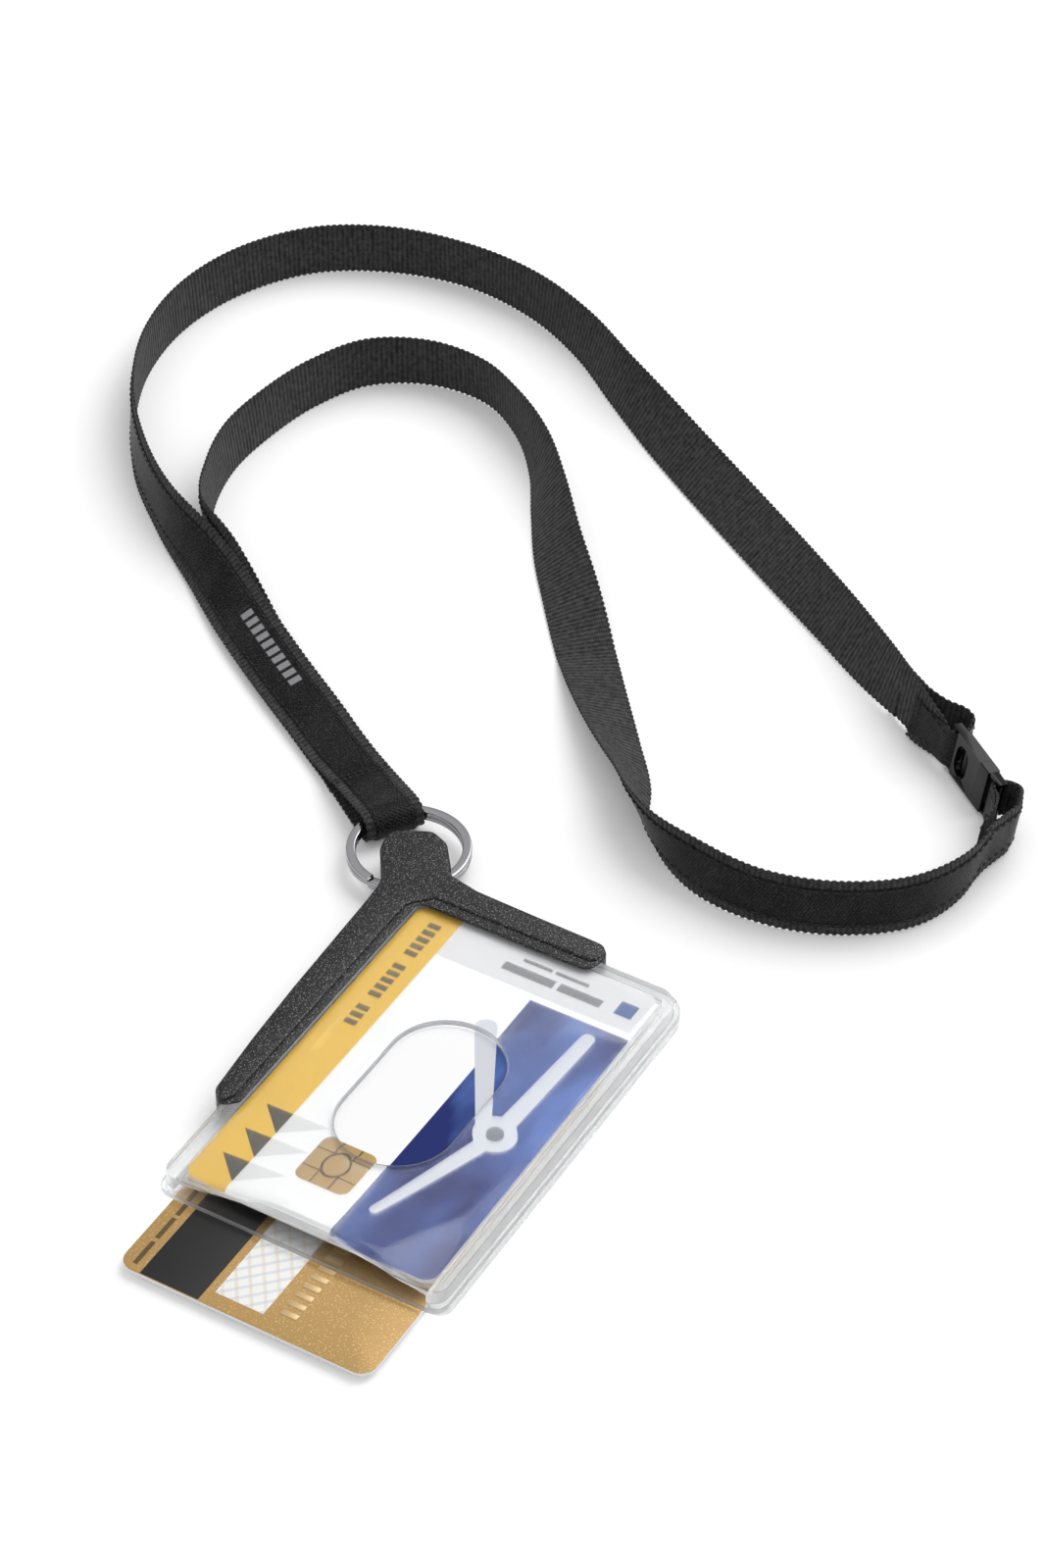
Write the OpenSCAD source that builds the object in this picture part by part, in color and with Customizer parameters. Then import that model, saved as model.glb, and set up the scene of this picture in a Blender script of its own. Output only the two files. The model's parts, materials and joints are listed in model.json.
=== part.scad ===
// Neck strap badge holder: a clear two-compartment case on a moulded corner
// yoke, hung from a split ring and a strap with a breakaway buckle.
// The strap lies on a surface at its full length. Units are millimetres.

/* [Cards] */
// Length of a standard bank card
card_l = 85.6; // [85:0.1:86]
// Width of a standard bank card
card_w = 54; // [53.9:0.1:54.1]
// Thickness of a card
card_t = 0.76; // [0.7:0.02:0.84]
// Corner radius of a card
card_r = 3.2; // [2.9:0.1:3.5]
// How far the rear card stands out of the mouth
rear_out = 21.5; // [0:0.5:60]
// How high the front card bows at the mouth
mouth_rise = 1.9; // [0:0.1:3]

/* [Holder] */
// Outer width of the back cover and the divider
holder_w = 61.8; // [60:0.2:64]
// Outer width of the front cover
cover_w = 60.8; // [59:0.2:62]
// Thickness of the back plate
back_t = 0.9; // [0.8:0.1:1.2]
// Thickness of the divider
divider_t = 1.4; // [1:0.1:2]
// Height of the whole case at its closed end
holder_h = 6.7; // [6:0.1:8]
// Thickness of the front plate
plate_t = 1.1; // [0.8:0.1:1.4]
// Length of the thumb slot in the front plate
slot_l = 41; // [30:1:50]
// Width of the thumb slot
slot_w = 23.5; // [18:0.5:28]

/* [Yoke] */
// Top of the yoke above the surface
yoke_h = 7.5; // [7.2:0.1:9]
// Height of the step along the inner edge of the yoke
yoke_step = 0.45; // [0.2:0.05:0.6]
// Direction of the stem, from the long axis of the case
stem_angle = 32; // [25:1:45]

/* [Split ring] */
// Outer diameter of the ring
ring_d = 25.4; // [24:0.2:28]
// Radial width of the ring's flat wire
ring_w = 1.9; // [1.5:0.1:2.4]
// Thickness of both coils together
ring_t = 2.4; // [2:0.1:3]

/* [Strap] */
// Width of the woven strap
strap_w = 13; // [10:0.5:16]
// Thickness of the woven strap
web_t = 0.6; // [0.4:0.05:0.8]
// Width of the satin ribbon on its outer face
satin_w = 8.8; // [6:0.2:11]
// Thickness of the satin ribbon
satin_t = 0.25; // [0.2:0.05:0.4]

/* [Buckle] */
// Height of the buckle's body, across the strap
buckle_h = 10.2; // [9:0.1:12]
// Length of the socket half's body
socket_l = 9.8; // [8:0.1:12]
// Thickness of the buckle
buckle_t = 2.8; // [2.4:0.1:3.4]

/* [Hidden] */
$fn = 64;

// The case is drawn about its own centre, and this moves it into the part's frame.
case_shift = [-2.4, -10.3, 0];

clear_col = [0.9, 0.92, 0.95, 0.5];
charcoal = [0.10, 0.10, 0.11];
black = [0.04, 0.04, 0.045];
steel = [0.62, 0.63, 0.65];
card_white = [0.93, 0.93, 0.94];
gold = [0.72, 0.56, 0.32];

gap = 0.3;
eps = 0.01;
divider_z = 2;
divider_top = divider_z + divider_t;
rear_card_z = 1.1;
front_card_z = holder_h - plate_t - 0.14 - card_t;
mouth_x = -45;
case_end = 47.5;
cover_end = 45.2;
channel_end = card_l / 2 + gap;
channel_w = card_w + 2 * gap;
corner_r = 6;
bow_cells = 8;

stripe_w = 12.7;
stripe_inset = 5;
film_t = 0.04;

ring_center = [56.4, 38.8];
ring_r = ring_d / 2;
ring_z = 3.8;
ring_hole_back = 10.7;
ring_hole_r = 2.4;

tab_angle = 55.5;
tab_back = 10.6;
tab_side = 0.5;
tab_w = 12.6;
tab_t = 0.8;
tab_hole_r = 2.6;
tab_leg = 16;

tack_t = 0.2;

buckle_start = [135.5, -54.3];
buckle_z = 5.9;
buckle_angle = -127;
buckle_lean = 9;
cheek_t = 0.6;
socket_bar = 2.2;
plug_bar = 3.3;
bar_r = 0.9;
shoulder_l = 3.5;
tongue_h = 6;
tongue_l = 7;
tongue_t = 1.3;
window = [4.8, 7.3];
plug_x = socket_l + 0.05;

// The strap's folds about the two bars, in the buckle's own frame.
fold_t = 0.9;
fold_a = [
    [-20.6, -3], [-12.5, -1.9], [-9.6, 0.2], [-6.2, 4.2], [-5, 4.7], [-3.9, 4.1],
    [-1.3, 1.2], [-0.75, 0.2], [-0.9, -0.7], [-2, -1.5], [-5, -1.9], [-9, -2.7],
    [-14.3, -3.5],
];
fold_a_side = [
    [-21, -5], [-12, -5.1], [-6, -4.4], [-3.4, -4.3], [0, -4.3], [0, 4.3],
    [-3.4, 4.3], [-6, 5.6], [-12, 7.4], [-21, 7.6],
];
fold_b = [
    [28, -9.9], [24, -5.4], [19.5, -2.5], [16.6, -1.5], [15.5, -1], [15.1, 0],
    [15.5, 1.2], [16.4, 2.7], [17.6, 3.6], [18.8, 3.5], [21, 2.2], [25, -0.6],
    [27.3, -4.8], [29.2, -8.5],
];
fold_b_side = [
    [13.6, -4.3], [17.9, -4.3], [21, -5.2], [25, -5.9], [30, -6.9], [30, 6.1],
    [25, 6.6], [21, 5.4], [17.9, 4.3], [13.6, 4.3],
];

// Each row is x, y, the lean of the strap and the height of its lower edge.
// At a lean of 0 the strap stands on edge, and at -90 it lies with its ribbon up.
route_a = [
    [69.6, 50.4, -89, 3.2], [72, 54, -88, 2.3], [74.8, 58.8, -84, 1.7],
    [80, 67.4, -80, 1.7], [88.8, 82.4, -74, 1.7], [98.4, 97.6, -66, 1.6],
    [108.8, 113.4, -45, 0.9], [119.4, 131.8, -17, 0.4], [133.5, 148.6, -10, 0.4],
    [149, 160.5, -2, 0.4], [166.7, 168.9, 1, 0.4], [186, 171.8, 3, 0.4],
    [204.6, 168.2, 4, 0.4], [221, 157.7, 2, 0.4], [230.4, 142, 1, 0.4],
    [234, 123.4, -2, 0.4], [231.5, 104, 5, 0.4], [223.7, 85.8, 14, 0.4],
    [213, 69.4, 25, 0.4], [203, 53.2, 40, 0.4], [193, 36.7, 48, 0.4],
    [183, 20.2, 51, 0.4], [172.6, 4, 46, 0.5], [162, -12, 37, 0.6],
    [151.2, -27.6, 25, 0.8], [145.7, -35.8, 13, 1],
];
route_b = [
    [69.6, 50.4, -89, 0.45], [72.2, 54, -88, 0.4], [75, 58.6, -86, 0.4],
    [80.4, 67.2, -84, 0.4], [89.6, 82.2, -80, 0.4], [99.4, 97, -72, 0.4],
    [110, 110.6, -38, 0.4], [121.6, 122.8, 6, 0.4], [132.4, 128.5, 6, 0.4],
    [146, 132.2, 7, 0.4], [160.6, 132, 6, 0.4], [176.2, 129, 4, 0.4],
    [188.5, 122.9, 2, 0.4], [196, 110, -2, 0.4], [196, 95.7, -4, 0.4],
    [189.5, 83.4, 2, 0.4], [179.4, 71.8, 18, 0.4], [167.5, 62.3, 36, 0.4],
    [155, 52.8, 52, 0.4], [143.2, 42.5, 69, 0.4], [131, 32.1, 88, 0.4],
    [118.6, 21.7, 104, 0.4], [106.7, 11.1, 120, 0.4], [96, 1.2, 137, 0.4],
    [87.6, -5, 157, 0.4], [81.2, -13, 170, 0.4], [76.8, -24.4, 187, 0.4],
    [75.5, -39.3, 188, 0.4], [80.7, -55.7, 188, 0.4], [91.2, -67.9, 184, 0.4],
    [102, -72, 176, 0.4], [110.1, -72.4, 171, 0.5],
];

module at_case() {
    translate(case_shift) children();
}

// ---- Bowed plates ---------------------------------------------------------

function bow(x, y) =
    mouth_rise * pow(max(0, card_l / 2 - x) / card_l, 3.5)
    * max(0, 1 - pow(2 * y / card_w, 2));

// A slab whose top follows the bow of the front plate. Its base is flat or bowed.
module bowed_slab(x0, x1, half_y, low, high, flat_base) {
    n = bow_cells + 1;
    xs = [for (i = [0:bow_cells]) x0 + (x1 - x0) * i / bow_cells];
    ys = [for (j = [0:bow_cells]) half_y * (2 * j / bow_cells - 1)];
    base = [for (x = xs) for (y = ys) [x, y, low + (flat_base ? 0 : bow(x, y))]];
    top = [for (x = xs) for (y = ys) [x, y, high + bow(x, y)]];
    t = n * n;
    cells = [for (i = [0:bow_cells - 1]) for (j = [0:bow_cells - 1]) i * n + j];
    last = bow_cells * n;
    polyhedron(
        points = concat(base, top),
        faces = concat(
            [for (c = cells) [t + c, t + c + 1, t + c + n + 1]],
            [for (c = cells) [t + c, t + c + n + 1, t + c + n]],
            [for (c = cells) [c, c + n + 1, c + 1]],
            [for (c = cells) [c, c + n, c + n + 1]],
            [for (j = [0:bow_cells - 1]) [j, j + 1, t + j + 1, t + j]],
            [for (j = [last:last + bow_cells - 1]) [j, t + j, t + j + 1, j + 1]],
            [for (i = [0:bow_cells - 1])
                [i * n, t + i * n, t + i * n + n, i * n + n]],
            [for (i = [0:bow_cells - 1])
                [i * n + n - 1, i * n + 2 * n - 1, t + i * n + 2 * n - 1, t + i * n + n - 1]]
        )
    );
}

// A rounded rectangle centred on the x axis, with one radius at each end.
module case_outline(x0, x1, w, r0, r1) {
    translate([x0 + r0, -w / 2]) square([x1 - x0 - r0 - r1, w]);
    translate([x0, r0 - w / 2]) square([r0 + eps, w - 2 * r0]);
    translate([x1 - r1 - eps, r1 - w / 2]) square([r1 + eps, w - 2 * r1]);
    for (side = [-1, 1]) {
        translate([x0 + r0, side * (w / 2 - r0)]) circle(r0);
        translate([x1 - r1, side * (w / 2 - r1)]) circle(r1);
    }
}

module card_blank(x_mid) {
    translate([x_mid, 0]) case_outline(-card_l / 2, card_l / 2, card_w, card_r, card_r);
}

// ---- Case -----------------------------------------------------------------

module back_cover() {
    color(clear_col) at_case() difference() {
        linear_extrude(divider_z)
            case_outline(mouth_x + 0.5, case_end, holder_w, 3, corner_r);
        translate([-60, -channel_w / 2, back_t])
            cube([60 + channel_end, channel_w, divider_z]);
    }
}

module divider() {
    color(clear_col) at_case() translate([0, 0, divider_z])
        linear_extrude(divider_t)
            case_outline(mouth_x - 1, case_end, holder_w, 3, corner_r);
}

module thumb_slot() {
    r = slot_w / 2;
    translate([-3, -0.6, divider_top]) linear_extrude(holder_h) {
        square([slot_l - slot_w, slot_w], center = true);
        for (side = [-1, 1]) translate([side * (slot_l / 2 - r), 0]) circle(r);
    }
}

module front_cover() {
    color(clear_col) at_case() difference() {
        intersection() {
            translate([0, 0, divider_top]) linear_extrude(2 * holder_h)
                case_outline(mouth_x, cover_end, cover_w, 3, corner_r - 1);
            bowed_slab(-48, 48, holder_w / 2, divider_top, holder_h, true);
        }
        bowed_slab(-48, channel_end, channel_w / 2, 0, holder_h - plate_t, true);
        thumb_slot();
    }
}

// ---- Yoke -----------------------------------------------------------------

// The stem's own frame has its origin at the ring's centre and points outwards.
module at_stem() {
    translate(ring_center) rotate(stem_angle) children();
}

module stem_outline() {
    polygon([[-26, -12], [-12.5, -9.8], [-10.5, -8.4], [-8, -7.6], [-1, -6.9],
        [-1, 5.7], [-26, 5.7]]);
    translate([-1, -4.1]) square([2.7, 7]);
    for (y = [-4.1, 2.9]) translate([-1.1, y]) circle(2.8);
}

// The plan of the yoke: an arm along each edge of the case and the stem.
module yoke_outline() {
    difference() {
        union() {
            polygon([[-21.8, 27.1], [46, 27.1], [46, 36.4], [26, 36.6], [8, 35.6],
                [-7, 34.6], [-20, 33.5]]);
            translate([-21.8, 30.3]) circle(3.2);
            translate([41.3, -8]) square([8.4, 36]);
            translate([45.7, -8]) circle(4);
            polygon([[40, 27], [49.7, 20], [50.6, 27], [48, 36], [40, 36.4]]);
            at_stem() stem_outline();
        }
        translate([-30, -30]) square([71.3, 53.1]);
        translate([-30, -30]) square([67.3, 57.1]);
        translate([37.3, 23.1]) circle(4);
    }
}

module case_envelope() {
    translate([0, 0, -1]) linear_extrude(divider_top + 1)
        case_outline(mouth_x - 1, case_end, holder_w, 3, corner_r);
    linear_extrude(holder_h + 0.1)
        case_outline(mouth_x, cover_end, cover_w, 3, corner_r - 1);
}

module yoke_step_cut() {
    translate([0, 0, yoke_h - yoke_step]) linear_extrude(2) {
        translate([-30, -30]) square([73.8, 54.8]);
        translate([-30, -30]) square([69.8, 58.8]);
        translate([39.8, 24.8]) circle(4);
    }
}

// The ring's hole through the stem, flared where the round wire leaves it.
module ring_tunnel() {
    at_stem() translate([-ring_hole_back, 0, ring_z]) rotate([90, 0, 0]) {
        cylinder(r = ring_hole_r, h = 30, center = true);
        for (side = [0, 180]) rotate([side, 0, 0]) translate([0, 0, 3])
            cylinder(r1 = ring_hole_r, r2 = ring_hole_r + 1.6, h = 8);
    }
}

module yoke() {
    color(charcoal) at_case() difference() {
        translate([0, 0, 0.1]) linear_extrude(yoke_h - 0.1) yoke_outline();
        case_envelope();
        yoke_step_cut();
        ring_tunnel();
    }
}

// ---- Split ring -----------------------------------------------------------

module split_ring() {
    coil = ring_t / 2 - 0.06;
    inner = ring_r - ring_w;
    color(steel) at_case() at_stem() translate([0, 0, ring_z]) difference() {
        rotate_extrude($fn = 96) {
            translate([inner, 0.06]) square([ring_w, coil]);
            translate([inner, -0.06 - coil]) square([ring_w, coil]);
            translate([inner + 0.2, -0.2]) square([ring_w - 0.4, 0.4]);
        }
        rotate(139) translate([inner - 1, -0.35, 0.06]) cube([ring_w + 2, 0.7, 2]);
        rotate(-128) translate([inner - 1, -0.35, -2.06]) cube([ring_w + 2, 0.7, 2]);
    }
}

// ---- Cards ----------------------------------------------------------------

module bowed_card() {
    bowed_slab(-48, 48, card_w / 2, front_card_z, front_card_z + card_t, false);
}

module chip_plan(clearance) {
    l = 12.8 + 2 * clearance;
    translate([-27.2, 3]) case_outline(-l / 2, l / 2, 11.6 + 2 * clearance, 2, 2);
}

module front_card() {
    color(card_white) at_case() difference() {
        intersection() {
            linear_extrude(20) card_blank(0);
            bowed_card();
        }
        translate([0, 0, film_t]) intersection() {
            linear_extrude(20) chip_plan(0);
            translate([0, 0, card_t - 0.2]) bowed_card();
        }
    }
}

module chip_module() {
    color(gold) at_case() intersection() {
        linear_extrude(20) chip_plan(-0.02);
        difference() {
            translate([0, 0, film_t]) bowed_card();
            translate([0, 0, film_t - 0.2]) bowed_card();
        }
    }
}

module rear_card() {
    color(gold) at_case() translate([0, 0, rear_card_z]) linear_extrude(card_t)
        card_blank(-rear_out);
}

module rear_card_film(x0, x1, y0, y1) {
    at_case() translate([x0 - rear_out, y0, rear_card_z + card_t])
        cube([x1 - x0, y1 - y0, film_t]);
}

module magnetic_stripe() {
    y1 = card_w / 2 - stripe_inset;
    color(black) rear_card_film(-card_l / 2 + 0.2, card_l / 2 - 0.2, y1 - stripe_w, y1);
}

module signature_panel() {
    color(card_white) rear_card_film(-39.5, 22, -2.8, 7.6);
}

// ---- Strap tab ------------------------------------------------------------

// The tab's frame has its x axis along the strap and its y axis up.
module at_tab() {
    at_case() translate(ring_center) rotate(tab_angle)
        translate([tab_back, -tab_side, ring_z]) rotate([90, 0, 0]) children();
}

module flat_bar(from, to, t) {
    d = to - from;
    translate(from) rotate(atan2(d.y, d.x)) translate([0, -t / 2]) square([norm(d), t]);
}

module tab_profile(r, t) {
    difference() {
        circle(r + t);
        circle(r);
        translate([0, -10]) square(20);
    }
}

module tab_loop() {
    mid = tab_hole_r + tab_t / 2;
    color(black) at_tab() linear_extrude(tab_w, center = true) {
        tab_profile(tab_hole_r, tab_t);
        flat_bar([0, mid], [tab_leg, -0.35], tab_t);
        flat_bar([0, -mid], [tab_leg, -3.28], tab_t);
    }
}

module tab_ribbon() {
    r = tab_hole_r + tab_t + 0.03;
    mid = r + 0.1;
    color(black) at_tab() linear_extrude(satin_w - 0.4, center = true) {
        tab_profile(r, 0.2);
        flat_bar([0, mid], [tab_leg - 1.6, 0.5], 0.2);
    }
}

module tab_tack() {
    color(charcoal) at_tab() linear_extrude(tab_w - 1, center = true)
        translate([tab_leg - 1, 0.42]) rotate(-12) square([1, tack_t], center = true);
}

// ---- Strap ----------------------------------------------------------------

// Unit direction of a route at one of its rows, seen from above.
function heading(route, i) =
    let (a = route[max(0, i - 1)], b = route[min(len(route) - 1, i + 1)])
    [b.x - a.x, b.y - a.y] / norm([b.x - a.x, b.y - a.y]);

// Unit vector across the strap, from its lower edge to its upper one.
function across(route, i) =
    let (h = heading(route, i), lean = route[i][2])
    [-h.y * sin(lean), h.x * sin(lean), cos(lean)];

// Unit vector out of the strap's ribbon face.
function outward(route, i) =
    let (h = heading(route, i), lean = route[i][2])
    [-h.y * cos(lean), h.x * cos(lean), -sin(lean)];

function middle(route, i) =
    [route[i].x, route[i].y, route[i][3] + strap_w / 2 * abs(cos(route[i][2]))];

// A flat band at the given places across a route and the depths low to high.
module band(route, places, low, high) {
    m = len(places);
    rings = [for (i = [0:len(route) - 1])
        let (c = middle(route, i), a = across(route, i), o = outward(route, i))
        concat([for (p = places) c + a * p + o * low],
            [for (k = [m - 1:-1:0]) c + a * places[k] + o * high])];
    n = len(rings);
    s = 2 * m;
    sides = [for (i = [0:n - 2]) for (k = [0:s - 1])
        let (p = s * i + k, q = s * i + (k + 1) % s)
        each (k >= m && k < s - 1 ? [[p, q, p + s], [q, q + s, p + s]]
            : [[p, q, q + s], [p, q + s, p + s]])];
    polyhedron(
        points = [for (r = rings) each r],
        faces = concat([[for (k = [s - 1:-1:0]) k]], sides, [[for (k = [0:s - 1]) s * n - s + k]])
    );
}

module strap_web(route) {
    w = strap_w / 2;
    r = satin_w / 2;
    color(black) band(route, [-w, -r, r, w], -web_t / 2, web_t / 2);
}

module strap_ribbon(route) {
    r = satin_w / 2;
    color(black) band(route, [-r, r], web_t / 2 + 0.02, web_t / 2 + 0.02 + satin_t);
}

module strap_a_web() {
    strap_web(route_a);
}

module strap_a_ribbon() {
    strap_ribbon(route_a);
}

module strap_b_web() {
    strap_web(route_b);
}

module strap_b_ribbon() {
    strap_ribbon(route_b);
}

// ---- Buckle ---------------------------------------------------------------

// The buckle's frame has its x axis from strap A to strap B and its z axis up.
module at_buckle() {
    translate([buckle_start.x, buckle_start.y, buckle_z]) rotate(buckle_angle)
        rotate([-buckle_lean, 0, 0]) children();
}

module block(x0, x1, h, t) {
    translate([x0, -t / 2, -h / 2]) cube([x1 - x0, t, h]);
}

// Two cheeks and the strap's bar between them, which stands back from x = 0.
module strap_bar(back) {
    for (side = [-1, 1])
        translate([-back - 0.9, -1, side * (buckle_h - cheek_t) / 2 - cheek_t / 2])
            cube([back + 1.1, 2, cheek_t]);
    translate([-back, 0, 0]) cylinder(r = bar_r, h = buckle_h - cheek_t, center = true);
}

module window_cut() {
    r = window[0] / 2;
    translate([3.3, 0, 0]) rotate([90, 0, 0]) linear_extrude(5) {
        square([window[0], window[1] - window[0]], center = true);
        for (side = [-1, 1]) translate([0, side * (window[1] / 2 - r)]) circle(r);
    }
}

module buckle_socket() {
    color(black) at_buckle() {
        difference() {
            block(0, socket_l, buckle_h, buckle_t);
            block(socket_l - tongue_l - 0.5, socket_l + 1, tongue_h + 0.4, tongue_t + 0.3);
            window_cut();
        }
        strap_bar(socket_bar);
    }
}

module buckle_plug() {
    color(black) at_buckle() {
        block(plug_x, plug_x + shoulder_l, buckle_h, buckle_t);
        block(plug_x - tongue_l, plug_x + 0.5, tongue_h, tongue_t);
        translate([plug_x + shoulder_l, 0, 0]) rotate(180) strap_bar(plug_bar);
    }
}

// ---- Folds of strap about the bars ----------------------------------------

module bent_bar(path, t) {
    for (i = [1:len(path) - 1]) flat_bar(path[i - 1], path[i], t);
    for (i = [1:len(path) - 2]) translate(path[i]) circle(t / 2, $fn = 24);
}

// A fold follows its path in plan and is cut to its outline from the side.
module strap_fold(path, side) {
    intersection() {
        linear_extrude(30, center = true) bent_bar(path, fold_t);
        rotate([90, 0, 0]) linear_extrude(40, center = true) polygon(side);
    }
}

module tack_bar(from, to) {
    linear_extrude(9.4, center = true) flat_bar(from, to, tack_t);
}

module loop_a() {
    color(black) at_buckle() strap_fold(fold_a, fold_a_side);
}

module loop_a_tack() {
    color(charcoal) at_buckle() tack_bar([-13.6, -3.98], [-12.4, -3.8]);
}

module loop_b() {
    color(black) at_buckle() strap_fold(fold_b, fold_b_side);
}

module loop_b_tack() {
    color(charcoal) at_buckle() tack_bar([25.9, -8.4], [26.7, -9.3]);
}

back_cover();
divider();
front_cover();
yoke();
split_ring();
front_card();
chip_module();
rear_card();
magnetic_stripe();
signature_panel();
tab_loop();
tab_ribbon();
tab_tack();
strap_a_web();
strap_a_ribbon();
strap_b_web();
strap_b_ribbon();
loop_a();
loop_a_tack();
loop_b();
loop_b_tack();
buckle_socket();
buckle_plug();
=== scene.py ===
"""The looks of a neck strap badge holder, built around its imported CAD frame.

A clear two-compartment card case sits in a charcoal corner yoke. A split ring joins the yoke to a
woven strap, which lies on the surface and is closed by a small breakaway buckle. Sizes are in
millimetres and are turned into metres where a mesh is made.
"""

import json
import logging
import math
from collections.abc import Callable, Sequence
from dataclasses import dataclass, field
from enum import Enum

import bmesh
import bpy
import numpy as np
from mathutils import Matrix, Vector
from mathutils.geometry import delaunay_2d_cdt

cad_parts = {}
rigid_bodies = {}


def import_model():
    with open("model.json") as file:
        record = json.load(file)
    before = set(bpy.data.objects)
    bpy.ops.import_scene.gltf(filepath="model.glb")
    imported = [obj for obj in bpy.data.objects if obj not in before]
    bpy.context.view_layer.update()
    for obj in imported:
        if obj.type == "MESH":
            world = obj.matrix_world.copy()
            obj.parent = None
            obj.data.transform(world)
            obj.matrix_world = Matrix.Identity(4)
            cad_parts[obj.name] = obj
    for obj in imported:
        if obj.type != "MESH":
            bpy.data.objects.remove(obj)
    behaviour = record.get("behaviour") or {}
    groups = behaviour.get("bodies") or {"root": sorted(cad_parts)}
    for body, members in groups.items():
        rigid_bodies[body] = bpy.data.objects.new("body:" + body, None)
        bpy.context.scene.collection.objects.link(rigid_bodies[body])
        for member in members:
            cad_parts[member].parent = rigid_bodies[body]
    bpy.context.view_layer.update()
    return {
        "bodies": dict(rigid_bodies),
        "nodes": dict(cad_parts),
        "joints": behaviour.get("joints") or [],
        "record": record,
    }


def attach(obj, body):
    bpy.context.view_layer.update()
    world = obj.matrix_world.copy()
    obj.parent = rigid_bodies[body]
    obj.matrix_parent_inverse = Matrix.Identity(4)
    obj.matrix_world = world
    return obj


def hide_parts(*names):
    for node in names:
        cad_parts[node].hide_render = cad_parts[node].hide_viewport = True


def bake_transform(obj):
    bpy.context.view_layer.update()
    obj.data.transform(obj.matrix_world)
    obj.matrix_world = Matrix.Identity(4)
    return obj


LOG = logging.getLogger("badge_holder")
MM = 0.001
CASE_SHIFT = np.array([-2.4, -10.3, 0.0])


class Body(Enum):
    """The rigid bodies that pieces ride on."""

    HOLDER = "holder"
    FRONT_CARD = "front_card"
    REAR_CARD = "rear_card"
    RING = "ring"
    LANYARD = "lanyard"
    PLUG = "plug"


# ---- Shader building ---------------------------------------------------------------------------


class Number:
    """A number that varies over a surface. Arithmetic on it adds Math nodes."""

    def __init__(self, paint: "Paint", socket: bpy.types.NodeSocket) -> None:
        """Wraps a socket of the material that paint builds."""
        self.paint = paint
        self.socket = socket

    def math(self, operation: str, *others: "Number | float", clamp: bool = False) -> "Number":
        """Adds one Math node.

        Args:
            operation: The node's operation.
            others: What follows this number in the node's inputs.
            clamp: Whether the result is kept between 0 and 1.

        Returns:
            The node's result.
        """
        values = [self, *others]
        node = self.paint.node(
            "ShaderNodeMath",
            {"operation": operation, "use_clamp": clamp},
            {i: v for i, v in enumerate(values)},
        )
        return Number(self.paint, node.outputs[0])

    def __add__(self, other: "Number | float") -> "Number":
        """Adds."""
        return self.math("ADD", other)

    def __radd__(self, other: float) -> "Number":
        """Adds, from the right."""
        return self.math("ADD", other)

    def __sub__(self, other: "Number | float") -> "Number":
        """Subtracts."""
        return self.math("SUBTRACT", other)

    def __rsub__(self, other: float) -> "Number":
        """Subtracts from a plain number."""
        return (self * -1.0).math("ADD", other)

    def __mul__(self, other: "Number | float") -> "Number":
        """Multiplies."""
        return self.math("MULTIPLY", other)

    def __rmul__(self, other: float) -> "Number":
        """Multiplies, from the right."""
        return self.math("MULTIPLY", other)

    def __truediv__(self, other: "Number | float") -> "Number":
        """Divides."""
        return self.math("DIVIDE", other)

    def __abs__(self) -> "Number":
        """The size without its sign."""
        return self.math("ABSOLUTE")

    def clamped(self) -> "Number":
        """The number kept between 0 and 1."""
        return self.math("ADD", 0.0, clamp=True)

    def sine(self) -> "Number":
        """Its sine, from radians."""
        return self.math("SINE")

    def largest(self, other: "Number | float") -> "Number":
        """The larger of two."""
        return self.math("MAXIMUM", other)

    def above(self, edge: float, blur: float) -> "Number":
        """A mask that is 1 where the number is over an edge, softened over a width."""
        return ((self - edge) * (1.0 / blur) + 0.5).clamped()

    def between(self, low: float, high: float, blur: float) -> "Number":
        """A mask that is 1 between two edges, softened over a width."""
        return self.above(low, blur) * (1.0 - self.above(high, blur))


Colour = tuple[float, float, float]
Value = Number | bpy.types.NodeSocket | Colour | float | str


def srgb(red: int, green: int, blue: int) -> Colour:
    """Turns a screen colour of 0 to 255 into linear light.

    Args:
        red: The red part.
        green: The green part.
        blue: The blue part.

    Returns:
        Three linear numbers from 0 to 1.
    """
    parts = [c / 255.0 for c in (red, green, blue)]
    return tuple(c / 12.92 if c <= 0.04045 else ((c + 0.055) / 1.055) ** 2.4 for c in parts)


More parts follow.
